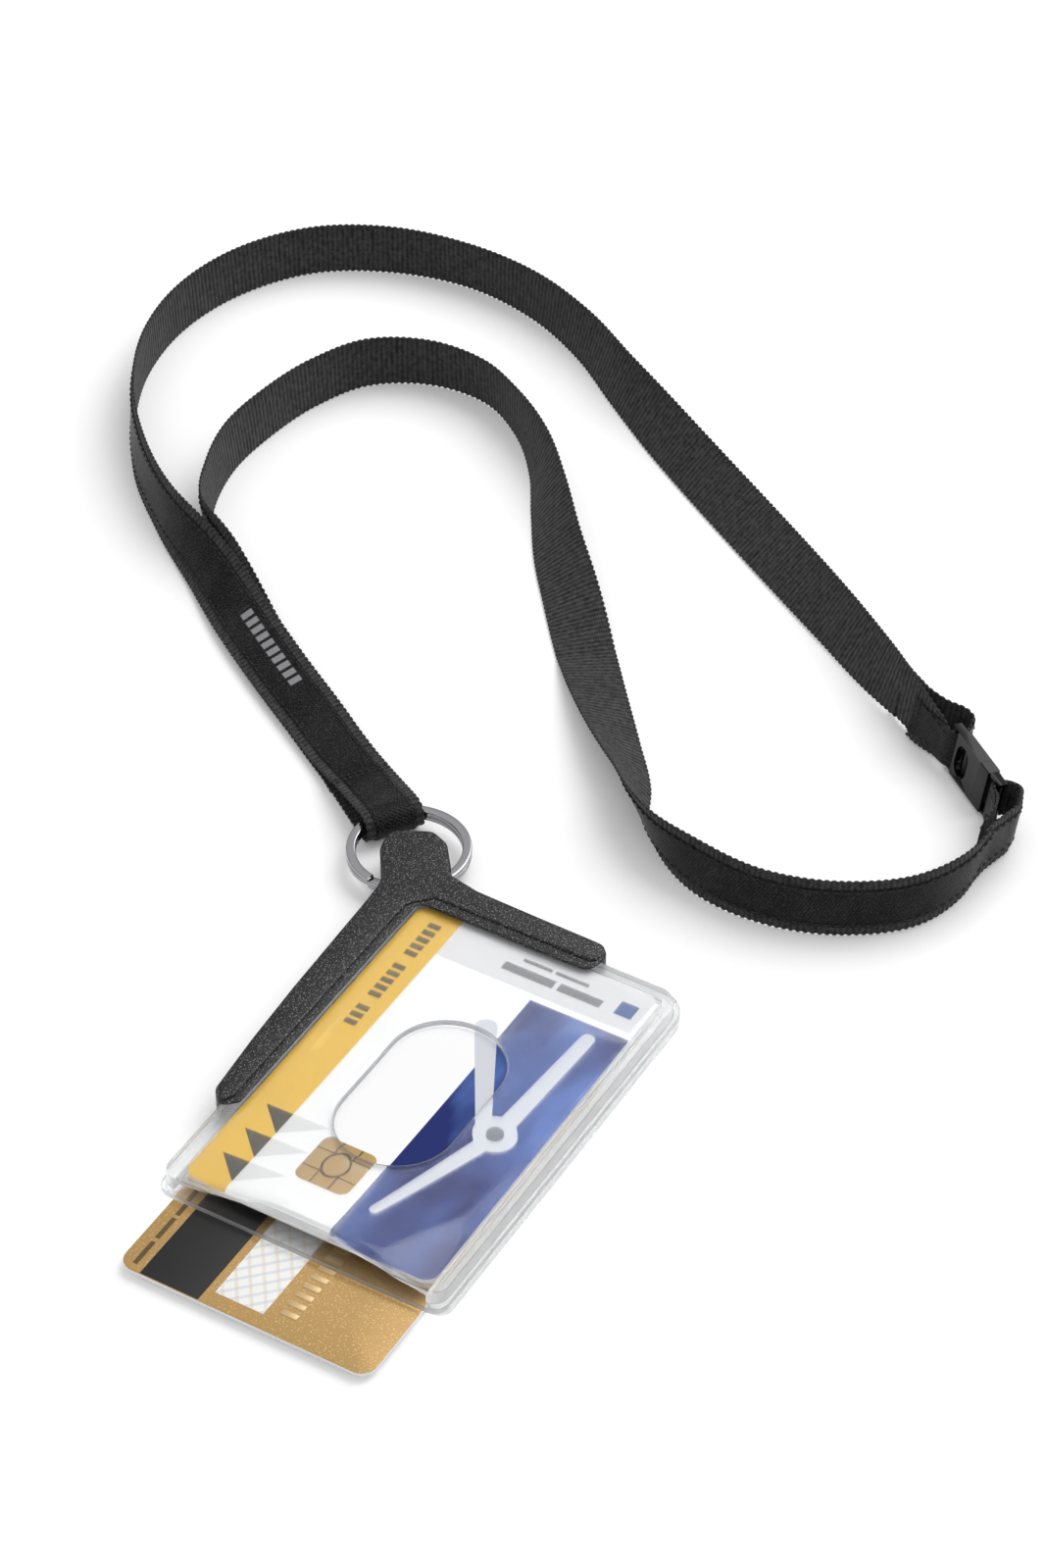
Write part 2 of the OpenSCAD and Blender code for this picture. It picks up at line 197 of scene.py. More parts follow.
class Paint:
    """Builds one material, node by node."""

    def __init__(self, name: str) -> None:
        """Starts an empty material of that name."""
        self.material = bpy.data.materials.new(name)
        self.material.use_nodes = True
        self.tree = self.material.node_tree
        self.tree.nodes.clear()

    def node(self, kind: str, settings: dict | None = None,
             inputs: dict | None = None) -> bpy.types.Node:
        """Adds any node.

        Args:
            kind: The node's type.
            settings: Its properties, which are set first.
            inputs: Values, colours or links for its sockets, by name or place.

        Returns:
            The new node.
        """
        node = self.tree.nodes.new(kind)
        for key, value in (settings or {}).items():
            setattr(node, key, value)
        for key, value in (inputs or {}).items():
            self.feed(node.inputs[key], value)
        return node

    def feed(self, socket: bpy.types.NodeSocket, value: Value) -> None:
        """Links a socket to a value's source, or sets the plain value on it.

        Args:
            socket: The input that is fed.
            value: A link's source, or a plain number or colour.
        """
        if isinstance(value, Number):
            self.tree.links.new(value.socket, socket)
        elif isinstance(value, bpy.types.NodeSocket):
            self.tree.links.new(value, socket)
        elif isinstance(value, tuple) and len(value) == 3 and socket.type == "RGBA":
            socket.default_value = (*value, 1.0)
        else:
            socket.default_value = value

    def place(self) -> tuple[Number, Number, Number]:
        """The surface's place in millimetres, from the centre of the case."""
        source = self.node("ShaderNodeTexCoord").outputs["Object"]
        parts = self.node("ShaderNodeSeparateXYZ", inputs={0: source}).outputs
        return tuple(Number(self, p) * (1 / MM) - s for p, s in zip(parts, CASE_SHIFT))

    def upward(self) -> Number:
        """How much the surface faces up, from -1 to 1."""
        source = self.node("ShaderNodeNewGeometry").outputs["Normal"]
        return Number(self, self.node("ShaderNodeSeparateXYZ", inputs={0: source}).outputs[2])

    def along_strap(self) -> tuple[Number, Number]:
        """The place along and across a strap in millimetres, from its own map."""
        source = self.node("ShaderNodeUVMap", {"uv_map": "strap"}).outputs[0]
        parts = self.node("ShaderNodeSeparateXYZ", inputs={0: source}).outputs
        return Number(self, parts[0]), Number(self, parts[1])

    def noise(self, scale: float, detail: float = 2.0, stretch: Colour = (1, 1, 1)) -> Number:
        """Noise that is fixed in the object.

        Args:
            scale: The grain, per metre.
            detail: How many finer layers it has.
            stretch: How much the grain is scaled along each axis.

        Returns:
            The noise, around a middle of 0.5.
        """
        source = self.node("ShaderNodeTexCoord").outputs["Object"]
        mapped = self.node("ShaderNodeMapping", inputs={"Vector": source, "Scale": stretch})
        texture = self.node(
            "ShaderNodeTexNoise",
            inputs={"Vector": mapped.outputs[0], "Scale": scale, "Detail": detail},
        )
        return Number(self, texture.outputs[0])

    def blend(self, mask: Number, base: Value, top: Value) -> bpy.types.NodeSocket:
        """Mixes two colours.

        Args:
            mask: Where the top colour shows.
            base: The colour where the mask is 0.
            top: The colour where it is 1.

        Returns:
            The mixed colour.
        """
        node = self.node("ShaderNodeMix", {"data_type": "RGBA"}, {0: mask})
        self.feed(node.inputs[6], base)
        self.feed(node.inputs[7], top)
        return node.outputs[2]

    def bump(self, height: Number, distance: float, strength: float = 1.0) -> bpy.types.NodeSocket:
        """A Bump node's normal, from a height of 0 to 1 over a distance in metres."""
        inputs = {"Height": height, "Distance": distance, "Strength": strength}
        return self.node("ShaderNodeBump", inputs=inputs).outputs[0]

    def principled(self, **inputs: Value) -> bpy.types.Node:
        """Adds the Principled shader, with spaces written as underscores in its inputs."""
        return self.node(
            "ShaderNodeBsdfPrincipled", inputs={k.replace("_", " "): v for k, v in inputs.items()}
        )

    def finish(self, shader: bpy.types.Node) -> bpy.types.Material:
        """Sends a shader to the surface and gives the material."""
        self.node("ShaderNodeOutputMaterial", inputs={"Surface": shader.outputs[0]})
        return self.material


# ---- Finishes ----------------------------------------------------------------------------------


# The materials made so far, by the name of their finish.
MADE: dict[str, bpy.types.Material] = {}


@dataclass(frozen=True)
class Finish:
    """A named finish. Its material is made once and then shared."""

    name: str
    slot: str | None = None

    def build(self, paint: Paint) -> bpy.types.Material:
        """Fills in the material that paint has started."""
        raise NotImplementedError(paint.material.name)

    def material(self) -> bpy.types.Material:
        """The material, made the first time it is asked for."""
        if self.name not in MADE:
            MADE[self.name] = self.build(Paint(self.name))
        return MADE[self.name]


@dataclass(frozen=True)
class ClearPlastic(Finish):
    """Polished clear plastic that lets lamps through."""

    tint: Colour = (0.985, 0.99, 0.99)
    roughness: float = 0.02
    bend: float = 1.4
    body: float = 0.62
    clearness: float = 1.0

    def build(self, paint: Paint) -> bpy.types.Material:
        """Fills in the material.

        Args:
            paint: Builds its nodes.

        Returns:
            The finished material.
        """
        solid = paint.principled(
            Base_Color=self.tint, Roughness=self.roughness, IOR=self.bend,
            Transmission_Weight=self.clearness, Alpha=self.body,
        )
        lamp = paint.node("ShaderNodeBsdfTransparent", inputs={"Color": self.tint})
        rays = paint.node("ShaderNodeLightPath").outputs["Is Shadow Ray"]
        mixed = paint.node(
            "ShaderNodeMixShader", inputs={0: rays, 1: solid.outputs[0], 2: lamp.outputs[0]}
        )
        return paint.finish(mixed)


@dataclass(frozen=True)
class SpeckledPlastic(Finish):
    """Moulded plastic with fine metallic flecks in it."""

    base: Colour = srgb(24, 24, 25)
    fleck: Colour = srgb(140, 140, 142)
    grain: float = 3300.0

    def build(self, paint: Paint) -> bpy.types.Material:
        """Fills in the material.

        Args:
            paint: Builds its nodes.

        Returns:
            The finished material.
        """
        flecks = paint.noise(self.grain, 1.0).above(0.635, 0.1)
        paint_depth = paint.noise(self.grain * 0.5)
        shader = paint.principled(
            Base_Color=paint.blend(flecks * 0.75, self.base, self.fleck),
            Roughness=0.44 - flecks * 0.12,
            Specular_IOR_Level=0.3,
            Normal=paint.bump(paint_depth, 0.00004, 0.5),
        )
        return paint.finish(shader)


@dataclass(frozen=True)
class PlainFinish(Finish):
    """One even colour with its own gloss."""

    colour: Colour = (0.5, 0.5, 0.5)
    roughness: float = 0.4
    metallic: float = 0.0
    coat: float = 0.0
    shine: float = 0.5

    def build(self, paint: Paint) -> bpy.types.Material:
        """Fills in the material.

        Args:
            paint: Builds its nodes.

        Returns:
            The finished material.
        """
        shader = paint.principled(
            Base_Color=self.colour,
            Roughness=self.roughness,
            Metallic=self.metallic,
            Coat_Weight=self.coat,
            Specular_IOR_Level=self.shine,
        )
        return paint.finish(shader)


@dataclass(frozen=True)
class FloorFinish(Finish):
    """A white table with a faint glow of its own, so that it stays even."""

    white: Colour = (0.93, 0.93, 0.93)
    glow: float = 0.1

    def build(self, paint: Paint) -> bpy.types.Material:
        """Fills in the material.

        Args:
            paint: Builds its nodes.

        Returns:
            The finished material.
        """
        shader = paint.principled(
            Base_Color=self.white, Roughness=0.9, Specular_IOR_Level=0.1,
            Emission_Color=(1.0, 1.0, 1.0), Emission_Strength=self.glow,
        )
        return paint.finish(shader)


@dataclass(frozen=True)
class RibbedWeave(Finish):
    """Grosgrain: fine ribs across the strap, with yarns along it, and a painted highlight on their
    crests.
    """

    base: Colour = srgb(16, 16, 17)
    # light: the colour of the painted highlight on the crests and of the lighter random grain
    light: Colour = srgb(72, 72, 73)
    rib: float = 1.2
    yarn: float = 0.5

    def build(self, paint: Paint) -> bpy.types.Material:
        """Fills in the material.

        Args:
            paint: Builds its nodes.

        Returns:
            The finished material.
        """
        along, across = paint.along_strap()
        ribs = (along * (2 * math.pi / self.rib)).sine() * 0.5 + 0.5
        yarns = (across * (2 * math.pi / self.yarn)).sine() * 0.5 + 0.5
        height = ribs * 0.75 + yarns * 0.25
        worn = paint.noise(900.0, 4.0)
        # Painted highlight: the colour is lighter where the ribs and yarns stand highest; the
        # noise adds random lighter grain.
        tone_with_painted_light = (height * 0.5 + worn.above(0.5, 0.35) * 0.6 - 0.12).clamped()
        shader = paint.principled(
            Base_Color=paint.blend(tone_with_painted_light, self.base, self.light),
            Roughness=0.8,
            Specular_IOR_Level=0.25,
            Sheen_Weight=0.08,
            Sheen_Roughness=0.5,
            Normal=paint.bump(height + worn * 0.4, 0.00026, 0.9),
        )
        return paint.finish(shader)


@dataclass(frozen=True)
class SatinWeave(Finish):
    """A smooth satin ribbon with a soft gloss and fine yarns along it, and a painted shine in
    broad patches and painted sparkle in its colour.
    """

    base: Colour = srgb(4, 4, 5)
    # light: the colour of the painted shine and sparkle, and of the lighter twill
    light: Colour = srgb(74, 74, 76)
    mark: Colour = srgb(150, 150, 153)
    mark_from: float = 31.0
    mark_to: float = 57.0
    mark_band: tuple[float, float] = (-0.1, 2.7)

    def build(self, paint: Paint) -> bpy.types.Material:
        """Fills in the material, with a row of plain printed dashes near the strap's start.

        Args:
            paint: Builds its nodes.

        Returns:
            The finished material.
        """
        along, across = paint.along_strap()
        weave = ((along + across * 0.6) * (2 * math.pi / 0.7)).sine() * 0.5 + 0.5
        yarns = (across * (2 * math.pi / 0.4)).sine() * 0.5 + 0.5
        cloth = paint.noise(160.0, 2.0)
        # Painted highlights: fine noise paints sparkle and broad noise paints patches of shine
        # into the colour; the twill is painted lighter where it stands high.
        painted_glints = paint.noise(3000.0, 2.0).above(0.57, 0.1)
        painted_sheen = cloth.above(0.52, 0.7)
        tone_with_painted_light = (painted_sheen * 0.16 + (weave * 0.2 + painted_glints * 0.6) * (0.5 + painted_sheen * 0.4) - 0.08).clamped()
        colour = paint.blend(tone_with_painted_light, self.base, self.light)
        dashes = along.between(self.mark_from, self.mark_to, 0.2) * (
            (along * (2 * math.pi / 2.6)).sine().above(-0.45, 0.3)
        )
        printed = dashes * across.between(*self.mark_band, 0.25)
        shader = paint.principled(
            Base_Color=paint.blend(printed * 0.9, colour, self.mark),
            Roughness=0.34 + printed * 0.3 - painted_glints * 0.08,
            Specular_IOR_Level=0.12,
            Normal=paint.bump(weave * 0.4 + yarns * 0.2 + cloth * 0.9 + painted_glints * 0.3, 0.0002, 0.8),
        )
        return paint.finish(shader)


Point = tuple[float, float]


@dataclass(frozen=True)
class CardArt(Finish):
    """The printed face of the front card, on plain white plastic.

    All of it is plain shapes: a band with three steps, a dark field with a pair of bars, a grey
    strip and rows of dashes where a card would have words.
    """

    white: Colour = srgb(246, 246, 247)
    yellow: Colour = srgb(226, 182, 60)
    blue: Colour = srgb(22, 38, 104)
    pale_blue: Colour = srgb(92, 124, 194)
    grey: Colour = srgb(222, 222, 225)
    dark: Colour = srgb(58, 54, 44)
    shade: Colour = srgb(218, 219, 220)
    silver: Colour = srgb(206, 209, 216)
    band_edge: float = 17.3
    field_edge: float = -5.1
    field_end: float = 29.8
    strip_start: float = 31.4
    step_tips: tuple[float, ...] = (-34.4, -27.0, -19.6)
    step: float = 6.0
    blur: float = 0.12

    def segment(self, x: Number, y: Number, start: Point, end: Point, wide: float,
                tip: float) -> Number:
        """A mask for a straight bar with round ends.

        Args:
            x: The place along the card.
            y: The place across it.
            start: Where the bar starts.
            end: Where it ends.
            wide: Its half width at the start.
            tip: Its half width at the end.

        Returns:
            The mask.
        """
        dx, dy = end[0] - start[0], end[1] - start[1]
        square = dx * dx + dy * dy
        share = ((x - start[0]) * (dx / square) + (y - start[1]) * (dy / square)).clamped()
        off_x, off_y = x - start[0] - share * dx, y - start[1] - share * dy
        away = (off_x * off_x + off_y * off_y).math("SQRT")
        return 1.0 - (away - share * (tip - wide)).above(wide, self.blur)

    def build(self, paint: Paint) -> bpy.types.Material:
        """Fills in the material.

        Args:
            paint: Builds its nodes.

        Returns:
            The finished material.
        """
        x, y, _ = paint.place()
        blur = self.blur
        colour = paint.blend(x.above(self.strip_start, blur), self.white, self.grey)
        for tip in self.step_tips:
            below = x.between(tip - self.step, tip, blur) * (
                ((x - (tip - self.step)) * 1.35 - (self.band_edge - y)).above(0.0, blur)
            )
            colour = paint.blend(below * 0.9, colour, self.shade)
        colour = paint.blend(y.above(self.band_edge, blur), colour, self.yellow)
        for tip in self.step_tips:
            above = x.between(tip - self.step, tip, blur) * y.above(self.band_edge, blur)
            slope = ((x - (tip - self.step)) - (y - self.band_edge)).above(0.0, blur)
            colour = paint.blend(above * slope, colour, self.dark)
        waves = paint.noise(60.0, 3.0, (0.6, 1.6, 1.0)).above(0.56, 0.3)
        water = paint.blend(waves * 0.75, self.blue, self.pale_blue)
        in_field = (1.0 - x.above(self.field_end, blur)) * (1.0 - y.above(self.field_edge, blur))
        colour = paint.blend(in_field, colour, water)
        for start, end, wide, tip in (
            ((-5.0, -18.0), (26.0, -20.0), 1.9, 1.5),
            ((-5.0, -18.0), (-33.0, -9.0), 1.9, 1.0),
            ((-4.3, -15.0), (19.0, -1.6), 1.5, 2.2),
            ((-5.0, -18.0), (-4.2, -17.4), 4.2, 4.2),
        ):
            colour = paint.blend(self.segment(x, y, start, end, wide, tip), colour, self.silver)
        hub = self.segment(x, y, (-4.8, -17.8), (-4.4, -17.6), 1.7, 1.7)
        colour = paint.blend(hub, colour, srgb(120, 124, 134))
        for low, high in ((6.2, 12.5), (15.0, 25.7), (28.2, 38.9)):
            dash = x.between(low, high, blur) * y.between(20.2, 22.9, blur)
            parts = (x * (2 * math.pi / 2.2)).sine().above(-0.5, 0.25)
            colour = paint.blend(dash * parts * 0.9, colour, self.dark)
        for low, high, foot, top in (
            (34.6, 36.8, -17.5, -8.0),
            (34.6, 36.8, -7.0, 4.4),
            (38.4, 39.3, -13.0, -5.6),
            (38.4, 39.3, -4.8, 1.6),
        ):
            dash = x.between(low, high, blur) * y.between(foot, top, blur)
            colour = paint.blend(dash * 0.85, colour, srgb(88, 90, 96))
        badge = x.between(34.8, 38.6, blur) * y.between(-24.4, -20.6, blur)
        colour = paint.blend(badge, colour, srgb(70, 96, 150))
        colour = paint.blend(paint.upward().above(0.5, 0.1), self.white, colour)
        shader = paint.principled(Base_Color=colour, Roughness=0.5, Specular_IOR_Level=0.15)
        return paint.finish(shader)


@dataclass(frozen=True)
class ChipFinish(Finish):
    """Gold contacts parted by fine dark lines."""

    gold: Colour = srgb(176, 146, 98)
    line: Colour = srgb(84, 64, 38)
    middle: Point = (-27.2, 3.0)

    def build(self, paint: Paint) -> bpy.types.Material:
        """Fills in the material.

        Args:
            paint: Builds its nodes.

        Returns:
            The finished material.
        """
        x, y, _ = paint.place()
        x, y = x - self.middle[0], y - self.middle[1]
        wide = 0.3
        oval = abs((x * x * 0.9 + y * y * 1.5).math("SQRT") - 3.1)
        lines = 1.0 - oval.above(wide, 0.12)
        outside = (x * x * 0.9 + y * y * 1.5).above(9.6, 0.5)
        for level in (-2.0, 2.0):
            lines = lines.largest((1.0 - abs(y - level).above(wide / 2, 0.12)) * outside)
            lines = lines.largest((1.0 - abs(x - level * 1.3).above(wide / 2, 0.12)) * outside)
        shader = paint.principled(
            Base_Color=paint.blend(lines, self.gold, self.line),
            Metallic=0.45 - lines * 0.4,
            Roughness=0.45,
            Specular_IOR_Level=0.25,
            Normal=paint.bump(1.0 - lines, 0.00006, 0.8),
        )
        return paint.finish(shader)


@dataclass(frozen=True)
class BronzeCard(Finish):
    """A metallic gold print with fine sparkle on a white plastic core."""

    gold: Colour = srgb(180, 144, 86)
    spark: Colour = srgb(224, 192, 138)
    core: Colour = srgb(240, 240, 240)
    ink: Colour = srgb(74, 60, 38)
    top: float = 1.82

    def build(self, paint: Paint) -> bpy.types.Material:
        """Fills in the material.

        Args:
            paint: Builds its nodes.

        Returns:
            The finished material.
        """
        x, y, z = paint.place()
        sparks = paint.noise(2600.0, 2.0).above(0.62, 0.1)
        colour = paint.blend(sparks * 0.7, self.gold, self.spark)
        for low, high in ((-62.6, -56.4), (-55.4, -49.6), (-48.8, -42.0)):
            dash = x.between(low, high, 0.12) * y.between(23.6, 24.6, 0.12)
            colour = paint.blend(dash * 0.85, colour, self.ink)
        colour = paint.blend(z.above(self.top, 0.02), self.core, colour)
        shader = paint.principled(
            Base_Color=colour, Metallic=z.above(self.top, 0.02) * 0.35, Roughness=0.4
        )
        return paint.finish(shader)


@dataclass(frozen=True)
class PanelFinish(Finish):
    """A pale signature panel with faint slanted stripes."""

    pale: Colour = srgb(240, 239, 236)
    stripe: Colour = srgb(176, 192, 214)
    warm: Colour = srgb(214, 196, 170)

    def build(self, paint: Paint) -> bpy.types.Material:
        """Fills in the material.

        Args:
            paint: Builds its nodes.

        Returns:
            The finished material.
        """
        x, y, _ = paint.place()
        one = ((x + y) * (2 * math.pi / 3.2)).sine().above(0.55, 0.4)
        two = ((x - y * 1.4) * (2 * math.pi / 4.4)).sine().above(0.7, 0.4)
        colour = paint.blend(one * 0.4, self.pale, self.stripe)
        colour = paint.blend(two * 0.4, colour, self.warm)
        return paint.finish(paint.principled(Base_Color=colour, Roughness=0.7))


CLEAR = ClearPlastic("clear_plastic", "clear_case")
# Painted shading: the steep faces of the case get a paler grey, part-opaque clear finish that
# draws its edges as light and grey lines.
CLEAR_EDGE_PAINTED_SHADING = ClearPlastic(
    "clear_edge_painted_shading", "clear_case", (0.86, 0.87, 0.88), 0.12, 1.42, 0.8, 0.55
)
# Painted shade: the slot's wall and rim get a dark grey clear finish that draws a grey line round
# the thumb slot.
SLOT_PAINTED_SHADE = ClearPlastic("slot_painted_shade", "clear_case", (0.4, 0.41, 0.43), 0.1, 1.42, 0.8, 0.4)
YOKE_PLASTIC = SpeckledPlastic("speckled_charcoal", "charcoal_plastic")
STEEL = PlainFinish("plated_steel", "ring_steel", srgb(164, 164, 167), 0.12, 1.0)
WEAVE = RibbedWeave("ribbed_weave", "strap_weave")
SATIN = SatinWeave("satin_weave", "strap_satin")
PLAIN_SATIN = SatinWeave("plain_satin", "strap_satin", mark_from=-9.0, mark_to=-8.0)
THREAD = PlainFinish("sewing_thread", "thread", srgb(34, 34, 35), 0.7)
EDGE_YARN = PlainFinish("edge_yarn", "strap_weave", srgb(40, 40, 41), 0.8)
GLOSS_BLACK = PlainFinish("gloss_black", "buckle_black", srgb(8, 8, 9), 0.24, shine=0.26)
CARD_FACE = CardArt("card_face", "card_plastic")
CHIP_GOLD = ChipFinish("gold_contacts", "chip_gold")
BRONZE = BronzeCard("bronze_card", "card_bronze")
BRONZE_RAISED = PlainFinish("bronze_raised", "card_bronze", srgb(206, 178, 130), 0.35, 0.4)
STRIPE = PlainFinish("magnetic_stripe", "stripe_black", srgb(34, 34, 34), 0.45, shine=0.25)
PANEL = PanelFinish("signature_panel", "panel_paper")
FLOOR = FloorFinish("pale_floor")


# ---- Mesh helpers ------------------------------------------------------------------------------

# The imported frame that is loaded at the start.
FRAME: dict = {}


def add_object(name: str, mesh: bpy.types.Mesh, finish: Finish,
               smooth: float = 35.0) -> bpy.types.Object:
    """Puts a mesh in the scene with its finish.

    Args:
        name: The object's name.
        mesh: Its mesh, in metres.
        finish: What it is made of.
        smooth: The angle in degrees past which an edge stays sharp.

    Returns:
        The object.
    """
    mesh.materials.clear()
    mesh.materials.append(finish.material())
    mesh.polygons.foreach_set("use_smooth", [True] * len(mesh.polygons))
    mesh.set_sharp_from_angle(angle=math.radians(smooth))
    mesh.update()
    made = bpy.data.objects.new(name, mesh)
    bpy.context.scene.collection.objects.link(made)
    return made


def mesh_from(name: str, points: np.ndarray, faces: Sequence[Sequence[int]]) -> bpy.types.Mesh:
    """Makes a mesh from points in millimetres."""
    mesh = bpy.data.meshes.new(name)
    mesh.from_pydata((np.asarray(points, dtype=float) * MM).tolist(), [], [list(f) for f in faces])
    mesh.validate()
    return mesh


def outward_normals(mesh: bpy.types.Mesh) -> bpy.types.Mesh:
    """Merges doubles and turns every face outwards.

    Args:
        mesh: The mesh, which is changed.

    Returns:
        The same mesh.
    """
    work = bmesh.new()
    work.from_mesh(mesh)
    bmesh.ops.remove_doubles(work, verts=work.verts, dist=1e-7)
    bmesh.ops.recalc_face_normals(work, faces=work.faces)
    work.to_mesh(mesh)
    work.free()
    return mesh


def evaluated(source: bpy.types.Object, name: str) -> bpy.types.Mesh:
    """Turns an object with its modifiers into a plain mesh, and removes the object."""
    graph = bpy.context.evaluated_depsgraph_get()
    mesh = bpy.data.meshes.new_from_object(source.evaluated_get(graph))
    mesh.name = name
    bpy.data.objects.remove(source)
    return mesh


def cut(body: bpy.types.Mesh, cutters: Sequence[bpy.types.Mesh], operation: str,
        name: str) -> bpy.types.Mesh:
    """Joins or cuts solids.

    Args:
        body: The solid that is kept.
        cutters: The other solids, taken one by one.
        operation: DIFFERENCE, UNION or INTERSECT.
        name: The result's name.

    Returns:
        The resulting mesh.
    """
    scene = bpy.context.scene.collection.objects
    main = bpy.data.objects.new(name, body)
    scene.link(main)
    others = []
    for cutter in cutters:
        other = bpy.data.objects.new(f"{name}_cutter", cutter)
        scene.link(other)
        others.append(other)
        step = main.modifiers.new("cut", "BOOLEAN")
        step.operation, step.solver, step.object = operation, "EXACT", other
    mesh = evaluated(main, name)
    for other in others:
        bpy.data.objects.remove(other)
    return mesh


def softened(mesh: bpy.types.Mesh, width: float, longer: float = 2.0) -> bpy.types.Mesh:
    """Rounds the long straight edges that end in plain corners.

    Args:
        mesh: The mesh, which is changed.
        width: The rounding in millimetres.
        longer: The shortest edge that is rounded.

    Returns:
        The same mesh.
    """
    work = bmesh.new()
    work.from_mesh(mesh)
    chosen = [
        edge for edge in work.edges
        if len(edge.link_faces) == 2
        and edge.is_convex
        and edge.calc_length() > longer * MM
        and edge.calc_face_angle(0.0) > math.radians(50)
        and all(len(vert.link_edges) == 3 for vert in edge.verts)
    ]
    bmesh.ops.bevel(
        work, geom=chosen, offset=width * MM, offset_type="OFFSET", segments=3, profile=0.5,
        affect="EDGES", clamp_overlap=True,
    )
    work.to_mesh(mesh)
    work.free()
    return mesh


def bevelled(mesh: bpy.types.Mesh, width: float, segments: int = 3,
             angle: float = 40.0) -> bpy.types.Mesh:
    """Rounds a mesh's sharp edges.

    Args:
        mesh: The mesh, which is used up.
        width: The rounding in millimetres.
        segments: How many steps the rounding takes.
        angle: The angle in degrees past which an edge is rounded.

    Returns:
        The rounded mesh.
    """
    holder = bpy.data.objects.new("bevel_work", mesh)
    bpy.context.scene.collection.objects.link(holder)
    step = holder.modifiers.new("bevel", "BEVEL")
    step.width, step.segments = width * MM, segments
    step.limit_method, step.angle_limit = "ANGLE", math.radians(angle)
    step.use_clamp_overlap = True
    return evaluated(holder, mesh.name)


def node_copy(node: str) -> bpy.types.Mesh:
    """Copies a CAD node's mesh, with its loose triangles merged into flat faces.

    Args:
        node: The node's name.

    Returns:
        The copy.
    """
    source = bpy.data.objects.get(node)
    mesh = (source or FRAME["nodes"][node]).data.copy()
    work = bmesh.new()
    work.from_mesh(mesh)
    bmesh.ops.remove_doubles(work, verts=work.verts, dist=2e-6)
    bmesh.ops.dissolve_limit(
        work, angle_limit=math.radians(1.0), verts=work.verts, edges=work.edges
    )
    work.to_mesh(mesh)
    work.free()
    return mesh


def filleted(corners: Sequence[tuple[float, float, float]], steps: int = 8) -> np.ndarray:
    """Rounds the corners of a closed outline.

    Args:
        corners: Each corner's x, y and radius in millimetres.
        steps: How many points each round takes.

    Returns:
        The outline's points.
    """
    points = []
    count = len(corners)
    for i, (x, y, radius) in enumerate(corners):
        here = np.array([x, y])
        back = np.array(corners[i - 1][:2]) - here
        ahead = np.array(corners[(i + 1) % count][:2]) - here
        a, b = back / np.linalg.norm(back), ahead / np.linalg.norm(ahead)
        turn = math.acos(max(-1.0, min(1.0, float(a @ b))))
        if radius <= 0 or turn > math.pi - 0.02:
            points.append(here)
            continue
        reach = min(radius / math.tan(turn / 2), 0.49 * np.linalg.norm(back),
                    0.49 * np.linalg.norm(ahead))
        for t in np.linspace(0, 1, steps):
            start, end = here + a * reach, here + b * reach
            points.append((1 - t) ** 2 * start + 2 * t * (1 - t) * here + t**2 * end)
    return np.array(points)


def rounded_box(x0: float, x1: float, width: float, r0: float, r1: float,
                grow: float = 0.0) -> np.ndarray:
    """The outline of a rounded rectangle about the x axis, in millimetres.

    Args:
        x0: Its low end.
        x1: Its high end.
        width: Its width.
        r0: The radius at the low end.
        r1: The radius at the high end.
        grow: How far the outline is moved outwards.

    Returns:
        Its points, anticlockwise.
    """
    points = []
    for cx, cy, r, start in (
        (x1 - r1, width / 2 - r1, r1, 0),
        (x0 + r0, width / 2 - r0, r0, 90),
        (x0 + r0, r0 - width / 2, r0, 180),
        (x1 - r1, r1 - width / 2, r1, 270),
    ):
        for step in np.radians(np.linspace(start, start + 90, 9)):
            reach = r + grow
            points.append((cx + reach * math.cos(step), cy + reach * math.sin(step)))
    return np.array(points)


Height = Callable[[np.ndarray, np.ndarray], np.ndarray]


def filled(outline: np.ndarray, pitch: float) -> tuple[np.ndarray, list[list[int]]]:
    """Fills an outline with triangles over an even grid.

    Args:
        outline: The outline's points, which come first in the result.
        pitch: The grid's step in millimetres.

    Returns:
        The points and the triangles.
    """
    low, high = outline.min(0), outline.max(0)
    grid = [
        (x, y)
        for x in np.arange(low[0] + pitch / 2, high[0], pitch)
        for y in np.arange(low[1] + pitch / 2, high[1], pitch)
    ]
    grid = np.array(grid)
    ahead = np.roll(outline, -1, axis=0)
    inside = np.zeros(len(grid), bool)
    near = np.full(len(grid), np.inf)
    for (ax, ay), (bx, by) in zip(outline, ahead):
        crosses = (ay > grid[:, 1]) != (by > grid[:, 1])
        with np.errstate(divide="ignore", invalid="ignore"):
            at = ax + (grid[:, 1] - ay) * (bx - ax) / (by - ay)
        inside ^= crosses & (grid[:, 0] < at)
        edge = np.array([bx - ax, by - ay])
        share = ((grid - (ax, ay)) @ edge / max(edge @ edge, 1e-12)).clip(0, 1)
        near = np.minimum(near, np.linalg.norm(grid - (ax, ay) - share[:, None] * edge, axis=1))
    grid = grid[inside & (near > pitch * 0.35)]
    points = np.vstack([outline, grid])
    loop = list(range(len(outline)))
    edges = list(zip(loop, loop[1:] + loop[:1]))
    found = delaunay_2d_cdt([Vector(p) for p in points], edges, [], 1, 1e-6)
    return np.array([tuple(v) for v in found[0]]), [list(f) for f in found[2]]


